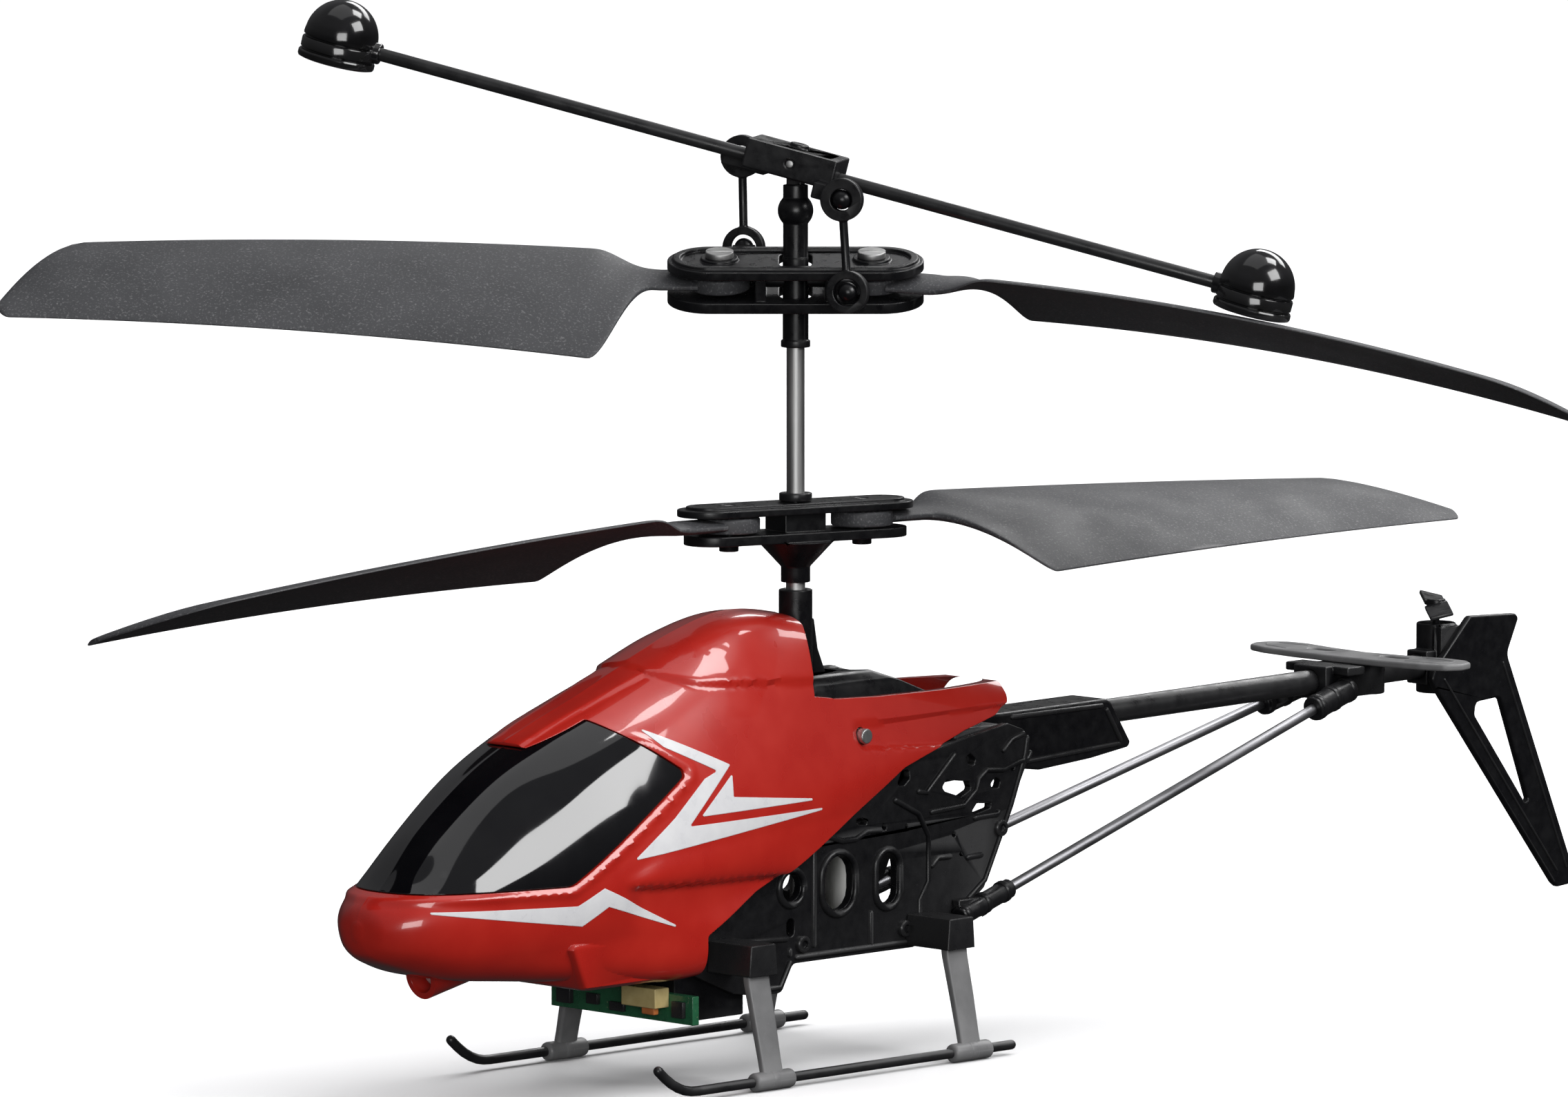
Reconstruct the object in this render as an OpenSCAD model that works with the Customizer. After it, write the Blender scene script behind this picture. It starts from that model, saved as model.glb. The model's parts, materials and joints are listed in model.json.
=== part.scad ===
// Small coaxial remote control helicopter: two counter-rotating rotors on one
// mast, a weighted flybar, a moulded canopy over a plastic frame, skids and a
// tail carried on a boom.
// Frame: the mast axis is Z, the origin is where it meets the flat underside of
// the belly between the motors, the nose points along -Y and the left side of
// the helicopter is +X. The modules count heights from the ground, and
// from_belly() moves them into the frame. Millimetres.

/* [Rotors] */
// Distance from the mast to a blade tip
rotor_r = 88.5; // [84:0.5:90]
// Distance from the mast to a blade's hinge screw
hinge_r = 8.5; // [8.3:0.1:9]
// Blade chord at the root corner
chord_root = 24; // [18:0.5:25]
// Blade chord near the tip
chord_tip = 16; // [10:0.5:17]
// Pitch of an upper blade's root against its grip
upper_pitch = 13.2; // [8:0.1:15]
// Extra pitch of the right upper blade, which hangs with its trailing edge down
upper_extra = 14; // [10:0.5:15]
// Pitch of a lower blade's root
lower_pitch = 17.5; // [12:0.5:20]
// Pitch lost between a lower blade's root and its tip
washout = 4.8; // [0:0.1:6]
// Height of the upper rotor's hinge plane at the mast
upper_z = 87.5; // [87:0.1:88]
// Height of the lower rotor's hinge plane at the mast
lower_z = 60.45; // [60.3:0.05:60.6]
// Direction of the upper blades, counted from +X towards +Y
upper_az = 45.2; // [0:0.1:180]
// Direction of the lower blades, counted from +X towards +Y
lower_az = 74; // [0:0.5:180]
// How far the lower blades are folded round from their hub at rest
lower_fold = 8; // [-10:1:20]
// How far the right upper blade is folded back at rest
upper_fold = -15; // [-30:1:30]

/* [Flybar] */
// Distance from the mast to the centre of a weight
flybar_r = 54; // [50:0.5:56]
// Height of the flybar's pivot
flybar_z = 100.7; // [100.6:0.1:100.9]
// Tilt of the flybar at rest
flybar_rest = 14.1; // [8:0.1:14.2]
// Angle between the flybar and the upper blades
flybar_lead = 12.5; // [5:0.5:20]
// Diameter of a weight
weight_d = 8.8; // [7:0.1:9.5]

/* [Drive] */
// Teeth on each main gear
gear_teeth = 36; // [36]
// Teeth on each motor pinion
pinion_teeth = 9; // [9]
// Gear module
gear_m = 0.36; // [0.34:0.01:0.37]
// Diameter of a main motor
motor_d = 7; // [6:0.1:7]
// Diameter of the bare steel shaft between the rotors
shaft_d = 2.04; // [1.9:0.02:2.1]

/* [Canopy] */
// Distance from the mast to the nose tip
nose_reach = 67.2; // [66:0.1:68]
// Wall thickness of the canopy
shell_t = 0.9; // [0.7:0.1:1.2]
// Gap between the windscreen and the canopy
window_gap = 0.12; // [0.1:0.02:0.2]

/* [Frame] */
// Distance from the middle to a side frame's outer face
frame_half = 8.5; // [8.4:0.1:8.8]
// Thickness of a side frame
frame_t = 1.1; // [0.9:0.1:1.2]

/* [Landing gear] */
// Distance from the middle to a skid
skid_half = 16.56; // [16:0.1:17.5]
// Diameter of a skid tube
skid_d = 1.1; // [0.9:0.1:1.4]
// Width of a leg along the helicopter
leg_w = 3.3; // [2.5:0.1:4]

/* [Tail] */
// Diameter of the tail boom
boom_d = 2.84; // [2.5:0.02:2.9]
// Distance from the mast to the tail motor
tail_y = 107.1; // [106.5:0.1:108]
// Half span of the stabiliser
stab_half = 16.6; // [14:0.1:18]
// Diameter of the two support rods
rod_d = 1.25; // [1:0.05:1.4]
// Distance from the tail motor to a tail rotor blade's tip
tail_rotor_r = 12; // [8:0.5:13]

/* [Hidden] */
$fn = 48;
eps = 0.02;
// height of the belly's underside above the ground
belly_z = 12.1;
// radial clearance of a running fit
run_gap = 0.05;
// plastics
red = [0.72, 0.03, 0.04];
black = [0.05, 0.05, 0.055];
charcoal = [0.16, 0.16, 0.165];
// blade hinge
screw_r = 0.75;
eye_r = 3.5;
eye_t = 1.7;
// upper grip: half height of the gap between the plates, and of the whole grip
grip_gap = 1.3;
grip_h = 2.55;
grip_l = 28.7;
grip_w = 9.5;
// linkage: where the grip's ball stands, seen from the mast
ball_x = 5.8;
ball_y = 8.5;
ball_r = 1.1;
ball_up = 1.2;
ball_down = -1.8;
eye_d = 4.8;
eye_thick = 1.2;
link_rod_d = 0.95;
fly_ball = rz([ball_x, -ball_y, 0], flybar_lead);
grip_rest = asin(fly_ball[0] * sin(flybar_rest) / ball_y);
// shafts
inner_r = 0.65;
outer_r = 1.08;
// drive
gear_y = (gear_teeth + pinion_teeth) * gear_m / 2;
inner_gear_z = 28;
outer_gear_z = 31;
gear_h = 1.6;
motor_top = 26;
motor_h = 13.2;
// skids
skid_z = 1.1;
front_leg_y = -20.1;
rear_leg_y = 11.1;
// boom
boom_slope = 0.0167;
boom_y0 = 26;
boom_z0 = 34.37;
stab_z = 37.3;

// ---------------------------------------------------------------- helpers

function rz(v, a) = [v[0] * cos(a) - v[1] * sin(a), v[0] * sin(a) + v[1] * cos(a), v[2]];
function rx(v, a) = [v[0], v[1] * cos(a) - v[2] * sin(a), v[1] * sin(a) + v[2] * cos(a)];
function ry(v, a) = [v[0] * cos(a) + v[2] * sin(a), v[1], -v[0] * sin(a) + v[2] * cos(a)];
function clamp01(t) = min(max(t, 0), 1);
function smooth(t) = let(u = clamp01(t)) u * u * (3 - 2 * u);
function mix(a, b, t) = a + (b - a) * t;

// point u along a smooth curve through a list of points (Catmull-Rom)
function near_point(v, i) = v[min(max(i, 0), len(v) - 1)];
function cubic(p0, p1, p2, p3, t) =
    0.5 * (2 * p1 + (p2 - p0) * t + (2 * p0 - 5 * p1 + 4 * p2 - p3) * t * t
        + (3 * p1 - p0 - 3 * p2 + p3) * t * t * t);
function curve_at(v, u) =
    let(i = floor(min(u, len(v) - 1 - 1e-6)), t = u - i)
    cubic(near_point(v, i - 1), near_point(v, i), near_point(v, i + 1), near_point(v, i + 2), t);

// straight bar from point a to point b
module bar(a, b, d) {
    v = b - a;
    length = norm(v);
    translate(a)
        rotate([0, acos(v[2] / length), atan2(v[1], v[0])])
            cylinder(d = d, h = length);
}

// flat plate with round ends, along X
module round_plate(length, width, z0, z1) {
    translate([0, 0, z0]) {
        translate([-(length - width) / 2, -width / 2, 0])
            cube([length - width, width, z1 - z0]);
        for (side = [-1, 1])
            translate([side * (length - width) / 2, 0, 0])
                cylinder(d = width, h = z1 - z0);
    }
}

// outline given in the Y-Z plane, extruded from x0 to x1
module side_plate(points, x0, x1) {
    translate([x0, 0, 0])
        rotate([90, 0, 90])
            linear_extrude(x1 - x0)
                polygon(points);
}

// closed skin over a list of rings that all have the same number of points
module skin(rings) {
    n = len(rings[0]);
    m = len(rings);
    points = [for (r = rings) for (p = r) p];
    sides = [for (i = [0:m - 2]) for (j = [0:n - 1])
        let(k = (j + 1) % n)
        [[i * n + j, (i + 1) * n + k, i * n + k], [i * n + j, (i + 1) * n + j, (i + 1) * n + k]]];
    faces = concat([for (s = sides) s[0]], [for (s = sides) s[1]],
        [[for (j = [0:n - 1]) j]],
        [[for (j = [n - 1:-1:0]) (m - 1) * n + j]]);
    polyhedron(points, faces, convexity = 8);
}

// from heights above the ground to heights above the belly's underside
module from_belly() {
    translate([0, 0, -belly_z])
        children();
}

module at_upper() {
    translate([0, 0, upper_z])
        rotate([0, 0, upper_az])
            rotate([grip_rest, 0, 0])
                children();
}

module at_lower() {
    translate([0, 0, lower_z])
        rotate([0, 0, lower_az])
            children();
}

module at_flybar() {
    translate([0, 0, flybar_z])
        rotate([0, 0, upper_az - flybar_lead])
            rotate([0, flybar_rest, 0])
                children();
}

// ---------------------------------------------------------------- canopy

// ribs of the canopy from the nose back: distance along Y, then seven points
// [x, z] from the top centre down the left side to the belly
ribs = [
    [-nose_reach, [[0, 21.6], [0.5, 21.4], [0.8, 21], [0.9, 20.4], [0.7, 19.8], [0.4, 19.5], [0, 19.4]]],
    [-66.2, [[0, 23.4], [2.2, 23.1], [3.9, 22.2], [4.6, 20.7], [3.9, 18.9], [2.1, 17.9], [0, 17.6]]],
    [-63.4, [[0, 25.2], [3.4, 24.9], [6.6, 23.8], [7.8, 21.4], [6.9, 18.3], [4, 16.6], [0, 16.2]]],
    [-58, [[0, 31], [4.4, 29.9], [8.8, 25.8], [10.2, 21.7], [9.2, 17.4], [5.6, 15], [0, 14.6]]],
    [-50, [[0, 36.6], [5, 35.5], [10.2, 29], [11.9, 22.7], [11, 17.6], [7.6, 14.3], [0, 13.6]]],
    [-42, [[0, 40.3], [5.2, 39.4], [10.2, 33.6], [12.6, 24.8], [11.9, 18.2], [9.6, 13.8], [0, 13]]],
    [-34, [[0, 43.3], [5.2, 42.4], [10, 37.2], [12.9, 27.2], [12.3, 19.2], [10.6, 13], [0, 12.4]]],
    [-27, [[0, 46.1], [5, 44.9], [9.7, 39.8], [12.7, 29], [12.2, 20], [10.8, 12.8], [0, 12.2]]],
    [-19, [[0, 49.1], [4.8, 47.9], [9.2, 42.4], [12.3, 30.8], [11.9, 22], [10.8, 14], [0, 13]]],
    [-11, [[0, 50.8], [4.5, 49.5], [8.6, 43.4], [11.8, 32], [11.5, 24], [10.6, 17], [0, 16]]],
    [-2, [[0, 49.7], [4.2, 48.6], [7.8, 43], [11, 33], [10.8, 27], [10, 21], [0, 20]]],
    [9, [[0, 46.6], [4, 45.6], [7, 41.6], [9.8, 34.4], [9.4, 30], [8.6, 26], [0, 25]]],
    [20, [[0, 43.6], [3.8, 42.8], [6.2, 40.2], [8.2, 36], [7.8, 33], [6.8, 30], [0, 29]]],
    [30, [[0, 41.2], [3.2, 40.6], [5, 39.2], [6, 37.2], [5.8, 35.4], [5, 33], [0, 32]]]];
rib_points = 14;
rib_steps = 40;

// ring number u of the canopy, its wall moved in by t
function rib_ring(u, t) =
    let(y = curve_at([for (r = ribs) r[0]], u),
        half = [for (k = [0:6]) curve_at([for (r = ribs) r[1][k]], u)],
        left = [for (j = [0:rib_points]) curve_at(half, 6 * j / rib_points)],
        low = left[rib_points][1],
        middle = (left[0][1] + low) / 2,
        w = max([for (p = left) p[0]]),
        h = (left[0][1] - low) / 2,
        sx = max(1 - t / w, 0.1),
        sz = max(1 - t / h, 0.1),
        full = concat(left, [for (j = [rib_points - 1:-1:1]) [-left[j][0], left[j][1]]]))
    [for (p = full) [p[0] * sx, y, middle + (p[1] - middle) * sz]];

module canopy_form(t = 0) {
    last = len(ribs) - 1;
    // the inner form starts behind the nose wall and runs out past the open rear
    start = t > 0 ? 0.45 : 0;
    rings = [for (i = [0:rib_steps]) rib_ring(mix(start, last, i / rib_steps), t)];
    tail = t > 0 ? [[for (p = rings[rib_steps]) [p[0], p[1] + 4, p[2]]]] : [];
    skin(concat(rings, tail));
}

// windscreen outline seen from the side: nose, sill, rear corner, roof front
function window_outline(grow) =
    [[-75, 24.5 - grow], [-45.9 + grow * 0.28, 24.5 - grow], [-27.8 + grow * 1.87, 35.4],
     [-37.1 + grow * 0.14, 41.6 + grow * 1.1], [-45 + grow, 38.85 + grow * 1.4],
     [-45.3 + grow, 50], [-75, 50]];

module window_prism(grow = 0) {
    side_plate(window_outline(grow), -20, 20);
}

// everything below and behind the canopy's lower rear edge
module below_edge() {
    side_plate([[-25.2, 0], [-25.6, 17.2], [-17.2, 21.3], [-12.4, 23], [-3.8, 27.3], [7.2, 32.9],
                [19, 35.9], [25.5, 37], [28.6, 38.6], [29, 39.4], [28.2, 40.6], [26.5, 52],
                [45, 52], [45, 0]], -20, 20);
}

// the space taken by the deck behind the mast
module deck_space() {
    side_plate([[-3.3, 60], [-3.3, 42], [-2.6, 41.3], [5, 40.9], [16, 40.6], [40, 40.4], [40, 60]], -20, 20);
    // the roof's rear edge is swept forward at the sides
    for (side = [-1, 1])
        rotate([0, 0, side * -28.5])
            side_plate([[-0.8, 60], [-0.8, 41.8], [3, 41.2], [3, 60]], -20, 20);
}

module chin_block() {
    hull() {
        for (side = [-1, 1]) {
            translate([side * 9.8 - 1, -43.4, 13])
                cube([2, 18, 0.5]);
            translate([side * 10.9 - 1, -46.2, 17.6])
                cube([2, 20.8, 0.5]);
        }
    }
}

module lamp_tube(d, extra) {
    translate([0, -57.6 - extra, 14.4 - extra * 0.2])
        rotate([-78, 0, 0])
            cylinder(d = d, h = 9 + extra * 2);
}

module canopy_shell() {
    color(red)
        difference() {
            union() {
                canopy_form();
                chin_block();
                lamp_tube(4.6, 0);
            }
            difference() {
                canopy_form(shell_t);
                lamp_tube(4.6, 0);
            }
            translate([-9.6, -41, 11])
                cube([19.2, 30, 8]);
            lamp_tube(3.2, 1);
            window_prism();
            below_edge();
            deck_space();
            for (side = [-1, 1])
                translate([side * 9, 1.2, 36.9])
                    rotate([0, 90, 0])
                        cylinder(d = 1.9, h = 8, center = true);
        }
}

module cockpit_window() {
    color([0.02, 0.02, 0.025])
        intersection() {
            difference() {
                canopy_form(0.15);
                canopy_form(shell_t);
            }
            window_prism(-window_gap);
        }
}

module nose_lamp() {
    color([0.9, 0.9, 0.85])
        translate([0, -56.4, 14.64])
            rotate([-78, 0, 0])
                cylinder(d = 3, h = 6);
}

module canopy_screws() {
    color("silver")
        for (side = [-1, 1])
            translate([side * (frame_half - frame_t), 1.2, 36.9])
                rotate([0, side * 90, 0]) {
                    cylinder(d = 1, h = frame_t + 0.6);
                    translate([0, 0, frame_t + 0.5])
                        cylinder(d = 1.7, h = 1.2);
                }
}

module deck_cover() {
    color(black)
        difference() {
            hull() {
                translate([-5.6, -4.6, 38.6])
                    cube([11.2, 21.4, 1.4]);
                translate([-5, -1.6, 41.2])
                    cube([10, 13, 1]);
                translate([-3.6, -1.2, 42.4])
                    cube([7.2, 9.6, 0.9]);
            }
            // bore round the mast tower's root
            translate([0, 0, 30])
                cylinder(d = 5.4, h = 20);
            // slot for the tower's rib
            translate([-1.3, 0, 37])
                cube([2.6, 5, 8]);
            // slot in the hatch
            translate([-1.6, 7, 42.2])
                cube([4.4, 2.2, 3]);
        }
}

// ---------------------------------------------------------------- frame

frame_outline = [[-14, 9], [-10.6, 9], [-8.8, 12.1], [10.4, 12.1], [12.2, 13.2], [13.4, 12.9], [15, 13.4],
                 [21.7, 17.8], [26, 26.5], [28.8, 31.7], [28.4, 35.2], [25.5, 36.2], [19, 35.2], [12, 33.9],
                 [7, 35.4], [2.6, 37.6], [-6, 37.8], [-12, 33], [-24, 24], [-25, 12.6], [-18, 9.6]];
// long holes in a side frame: centre y, centre z, length, width, angle
frame_slots = [[-1.7, 20.5, 6.1, 4.5, 90], [6.1, 20.3, 5.7, 3, 90], [-9.1, 20.7, 3.1, 3, 90],
               [-9.2, 16.2, 2, 1.2, 90],
               [3.6, 27.6, 2.6, 1.3, 0], [9.2, 27, 1.4, 0.8, 70],
               [19.4, 33.2, 2.2, 1.7, 60], [25, 32.2, 1.6, 1, 60],
               [15.4, 30.8, 4, 2.4, -8], [22.8, 30, 2, 1.4, 60], [18.8, 26.8, 3.6, 1.5, 25],
               [9.4, 32.2, 3, 1.6, 50], [12.4, 24.4, 1.6, 0.8, 60], [17, 24.4, 1.4, 0.8, 60]];

module frame_slot(s) {
    translate([0, s[0], s[1]])
        rotate([s[4], 0, 0])
            rotate([90, 0, 90])
                translate([0, 0, -20])
                    round_plate(s[2], s[3], 0, 40);
}

module side_frame(side) {
    x0 = side > 0 ? frame_half - frame_t : -frame_half;
    difference() {
        side_plate(frame_outline, x0, x0 + frame_t);
        for (s = frame_slots)
            frame_slot(s);
        // hole for the canopy screw
        translate([side * frame_half, 1.2, 36.9])
            rotate([0, 90, 0])
                cylinder(d = 1, h = 6, center = true);
    }
    // ring round the large window
    translate([side * (frame_half + 0.3), -1.7, 20.5])
        rotate([0, 90, 0])
            rotate([0, 0, 90])
                difference() {
                    translate([0, 0, -0.3])
                        rotate([0, 0, 90])
                            round_plate(7.3, 5.7, 0, 0.6);
                    translate([0, 0, -2])
                        rotate([0, 0, 90])
                            round_plate(6.1, 4.5, 0, 4);
                }
}

module frame_left() {
    color(black)
        side_frame(1);
}

module frame_right() {
    color(black)
        side_frame(-1);
}

plate_half = frame_half - frame_t;

module motor_plate() {
    color(black)
        difference() {
            translate([-plate_half, -14, motor_top])
                cube([2 * plate_half, 28, 1]);
            for (side = [-1, 1])
                translate([0, side * gear_y, motor_top - 1])
                    cylinder(r = 0.8, h = 3);
            translate([0, 0, motor_top - 1])
                cylinder(r = 1.6, h = 3);
        }
}

module gearbox_plate() {
    color(black)
        difference() {
            union() {
                translate([-plate_half, -12, 35.4])
                    cube([2 * plate_half, 26, 1.1]);
                translate([-plate_half, 14, 29])
                    cube([2 * plate_half, 1.1, 7.5]);
            }
            translate([0, 0, 34])
                cylinder(r = outer_r + run_gap, h = 4);
        }
}

module lower_bush() {
    color([0.8, 0.62, 0.25])
        difference() {
            union() {
                translate([0, 0, motor_top - 0.6])
                    cylinder(r = 1.6, h = 1.6);
                translate([0, 0, motor_top - 1])
                    cylinder(r = 2.2, h = 1);
            }
            translate([0, 0, motor_top - 2])
                cylinder(r = inner_r + run_gap, h = 4);
        }
}

module belly_tray() {
    color(black)
        difference() {
            union() {
                translate([-plate_half, -26.2, 9.6])
                    cube([2 * plate_half, 16.2, 9]);
                // shelf under the cell
                translate([-plate_half, -39, 12])
                    cube([2 * plate_half, 13, 1]);
                // block between the front legs
                translate([-plate_half, -22.6, 7])
                    cube([2 * plate_half, 7.1, 3]);
                translate([-plate_half, -10, belly_z])
                    cube([2 * plate_half, 20, 1]);
            }
            // bay for the cell, open at the top and the front
            translate([-6.4, -40, 13])
                cube([12.8, 26, 9]);
            for (side = [-1, 1])
                translate([0, side * gear_y, 9])
                    cylinder(d = motor_d + 0.2, h = 12);
        }
}

module battery() {
    color([0.55, 0.57, 0.6])
        translate([-6, -38.4, 13.2])
            cube([12, 20, 8.2]);
}

// upright board across the belly, in front of the legs
board_y = -27.2;

module circuit_board() {
    color([0.05, 0.35, 0.2])
        translate([-11.3, board_y, 7.3])
            cube([22.6, 1, 3.2]);
}

module switch_housing() {
    color([0.85, 0.8, 0.6])
        difference() {
            translate([2.2, board_y - 2.2, 9])
                cube([5.4, 2.2, 2.2]);
            translate([2.7, board_y - 1.9, 8.5])
                cube([4.4, 1, 1.6]);
        }
}

module switch_slider() {
    color([0.9, 0.45, 0.15])
        translate([5, board_y - 1.8, 8.2])
            cube([2, 0.8, 1.8]);
}

module motor(y) {
    translate([0, y, motor_top - motor_h]) {
        cylinder(d = motor_d, h = motor_h);
        translate([0, 0, -0.6])
            cylinder(d = motor_d - 1.6, h = 1);
    }
}

module front_motor() {
    color([0.82, 0.83, 0.85])
        motor(-gear_y);
}

module rear_motor() {
    color([0.82, 0.83, 0.85])
        motor(gear_y);
}

// spur gear outline with straight-sided teeth
module gear_outline(teeth) {
    pitch_r = teeth * gear_m / 2;
    tip = pitch_r + 0.2;
    root = pitch_r - 0.3;
    half_tip = 0.09 * 180 / (PI * tip);
    half_root = 0.21 * 180 / (PI * root);
    polygon([for (k = [0:teeth - 1])
        for (c = [[root, -half_root], [tip, -half_tip], [tip, half_tip], [root, half_root]])
            let(a = 360 * k / teeth + c[1])
            [c[0] * cos(a), c[0] * sin(a)]]);
}

module main_gear(z, bore_r) {
    translate([0, 0, z])
        difference() {
            union() {
                rotate([0, 0, 180 / gear_teeth])
                    linear_extrude(gear_h)
                        gear_outline(gear_teeth);
                cylinder(r = 2.4, h = gear_h + 0.9);
            }
            translate([0, 0, -1])
                cylinder(r = bore_r, h = gear_h + 4);
            for (a = [30:60:330])
                rotate([0, 0, a])
                    translate([4.1, 0, -1])
                        cylinder(d = 1.6, h = gear_h + 4);
        }
}

module inner_gear() {
    color([0.85, 0.85, 0.8])
        main_gear(inner_gear_z, inner_r);
}

module outer_gear() {
    color([0.85, 0.85, 0.8])
        main_gear(outer_gear_z, outer_r);
}

// motor shaft and the pinion pressed on it; angle points a tooth at the mast
module pinion(y, z, angle) {
    translate([0, y, z])
        rotate([0, 0, angle])
            linear_extrude(gear_h)
                gear_outline(pinion_teeth);
    translate([0, y, motor_top + eps])
        cylinder(r = 0.4, h = z + gear_h - motor_top + 0.4);
}

module front_pinion() {
    color("gold")
        pinion(-gear_y, inner_gear_z, 90);
}

module rear_pinion() {
    color("gold")
        pinion(gear_y, outer_gear_z, -90);
}

module mast_tower() {
    color(black)
        difference() {
            union() {
                translate([0, 0, 36.5])
                    cylinder(d = 3.8, h = 16.3);
                translate([0, 0, 36.5])
                    cylinder(d = 5.2, h = 5.6);
                side_plate([[0, 41], [4.6, 41], [3.9, 42.6], [2.4, 46], [1.8, 49.4], [0, 49.4]], -1.2, 1.2);
            }
            translate([0, 0, 30])
                cylinder(r = outer_r + run_gap, h = 30);
        }
}

// ---------------------------------------------------------------- lower rotor

module outer_shaft() {
    color([0.7, 0.71, 0.73])
        difference() {
            translate([0, 0, outer_gear_z - 0.3])
                cylinder(r = outer_r, h = lower_z - outer_gear_z + 0.3);
            translate([0, 0, 20])
                cylinder(r = inner_r + run_gap, h = 50);
        }
}

module lower_hub_base() {
    base = lower_z - 1.05;
    color(black)
        difference() {
            union() {
                at_lower() {
                    round_plate(27.6, 6.6, -2.15, -1.05);
                    // centre post between the plates
                    translate([-2.6, -2.4, -1.05])
                        cube([5.2, 4.8, 2.1]);
                    for (side = [-1, 1])
                        translate([side * hinge_r, 0, -3])
                            cylinder(d = 2.2, h = 1);
                }
                translate([0, 0, 55.35])
                    cylinder(r1 = 1.65, r2 = 4.4, h = base - 1.1 - 55.35 + eps);
                translate([0, 0, 53.6])
                    cylinder(r = 1.65, h = 1.8);
            }
            translate([0, 0, 50])
                cylinder(r = outer_r, h = lower_z - 50);
            translate([0, 0, 50])
                cylinder(r = 0.85, h = 20);
            at_lower()
                for (side = [-1, 1])
                    translate([side * hinge_r, 0, -5])
                        cylinder(r = screw_r, h = 6);
        }
}

module lower_hub_cap() {
    color(black)
        difference() {
            at_lower() {
                round_plate(29.2, 7.2, 1.05, 1.85);
                // raised deck on the cap
                round_plate(27.2, 5.2, 1.85, 2.2);
            }
            translate([0, 0, 60])
                cylinder(r = 0.85, h = 5);
            at_lower()
                for (side = [-1, 1])
                    translate([side * hinge_r, 0, 0])
                        cylinder(r = screw_r, h = 6);
        }
}

module hinge_screws(bottom, top, head_d) {
    for (side = [-1, 1])
        translate([side * hinge_r, 0, 0]) {
            translate([0, 0, bottom])
                cylinder(r = screw_r, h = top - bottom + 0.2);
            difference() {
                translate([0, 0, top])
                    cylinder(d = head_d, h = 0.7);
                translate([-head_d, -0.2, top + 0.4])
                    cube([2 * head_d, 0.4, 1]);
            }
        }
}

module lower_screws() {
    color("gray")
        at_lower()
            for (side = [-1, 1])
                translate([side * hinge_r, 0, -2.8])
                    cylinder(r = screw_r, h = 4.9);
}

// one ring of blade outline points at distance x from the hinge
// lead and trail are the edge positions; t is the thickness
blade_cols = 8;
corner_x = 14.5;
lead_y = 6;
function blade_len() = rotor_r - hinge_r;
function blade_lead(x) =
    let(tip = clamp01((x - blade_len() + 9) / 9))
    mix(3.2, lead_y, smooth((x - 7.6) / 6)) - tip * tip * (chord_tip - 3.5);
function blade_trail(x) =
    let(full = lead_y - mix(chord_root, chord_tip, clamp01((x - corner_x) / (blade_len() - corner_x))),
        tip = clamp01((x - blade_len() + 1.2) / 1.2))
    mix(-3.2, full, smooth((x - 7.5) / (corner_x - 7.5))) + tip * tip * 1.2;
function blade_twist(x, root, loss) =
    root * smooth((x - 6.6) / 8) - loss * clamp01((x - 15) / (blade_len() - 15));
function blade_t(x) = mix(eye_t - 0.2, 0.9, smooth((x - 6.6) / 8)) - 0.3 * clamp01((x - 20) / 60);

// root pitch, pitch lost towards the tip, droop at the root and the drop that a
// bent blade adds at its tip
function blade_ring(x, root, loss, droop, bend) =
    let(a = blade_lead(x), b = blade_trail(x), t = blade_t(x), tw = blade_twist(x, root, loss),
        camber = 0.045 * (a - b) * smooth((x - 7) / 8),
        out = max(x - 6.6, 0),
        drop = tan(droop) * out + bend * pow(out / (blade_len() - 6.6), 2),
        top = [for (i = [0:blade_cols]) i / blade_cols],
        arch = [for (s = top) camber * (1 - pow(2 * s - 1, 2))],
        half = [for (s = top) t * (0.22 + 0.28 * sin(180 * s))],
        pts = concat(
            [for (i = [0:blade_cols]) [mix(a, b, top[i]), arch[i] + half[i]]],
            [for (i = [blade_cols:-1:0]) [mix(a, b, top[i]), arch[i] - half[i]]]))
    [for (p = pts) let(q = rx([x, p[0], p[1]], tw)) [q[0], q[1], q[2] - drop]];

blade_x = concat([2.4, 4.5, 6.6], [for (x = [8:1:16]) x], [for (x = [20:6:68]) x],
                 [71, 73.5, 75.5, 77, 78.2, 79.1, 79.7, 80]);

// a blade of the rotor that turns anticlockwise seen from above: eye at the
// origin, tip along +X, leading edge towards +Y
module blade(root, loss, droop, bend) {
    difference() {
        union() {
            skin([for (x = blade_x) blade_ring(x * blade_len() / 80, root, loss, droop, bend)]);
            translate([0, 0, -eye_t / 2])
                cylinder(r = eye_r, h = eye_t);
        }
        translate([0, 0, -3])
            cylinder(r = screw_r + run_gap, h = 6);
    }
}

module lower_blade(turn, extra, droop, bend) {
    color(charcoal)
        at_lower()
            rotate([0, 0, turn])
                translate([hinge_r, 0, 0])
                    rotate([0, 0, lower_fold])
                        blade(lower_pitch + extra, washout, droop, bend);
}

module lower_blade_a() {
    lower_blade(0, 0, 0.7, 1.1);
}

module lower_blade_b() {
    lower_blade(180, 3.4, 2.8, 2.8);
}

// ---------------------------------------------------------------- upper rotor

module inner_shaft() {
    color([0.78, 0.79, 0.8])
        union() {
            translate([0, 0, 14])
                cylinder(r = inner_r, h = 50);
            translate([0, 0, 62.75])
                cylinder(d = shaft_d, h = 29);
        }
}

module shaft_collar() {
    color(black)
        difference() {
            translate([0, 0, 62.75])
                cylinder(d = 3.7, h = 0.9);
            translate([0, 0, 60])
                cylinder(d = shaft_d, h = 5);
        }
}

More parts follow.
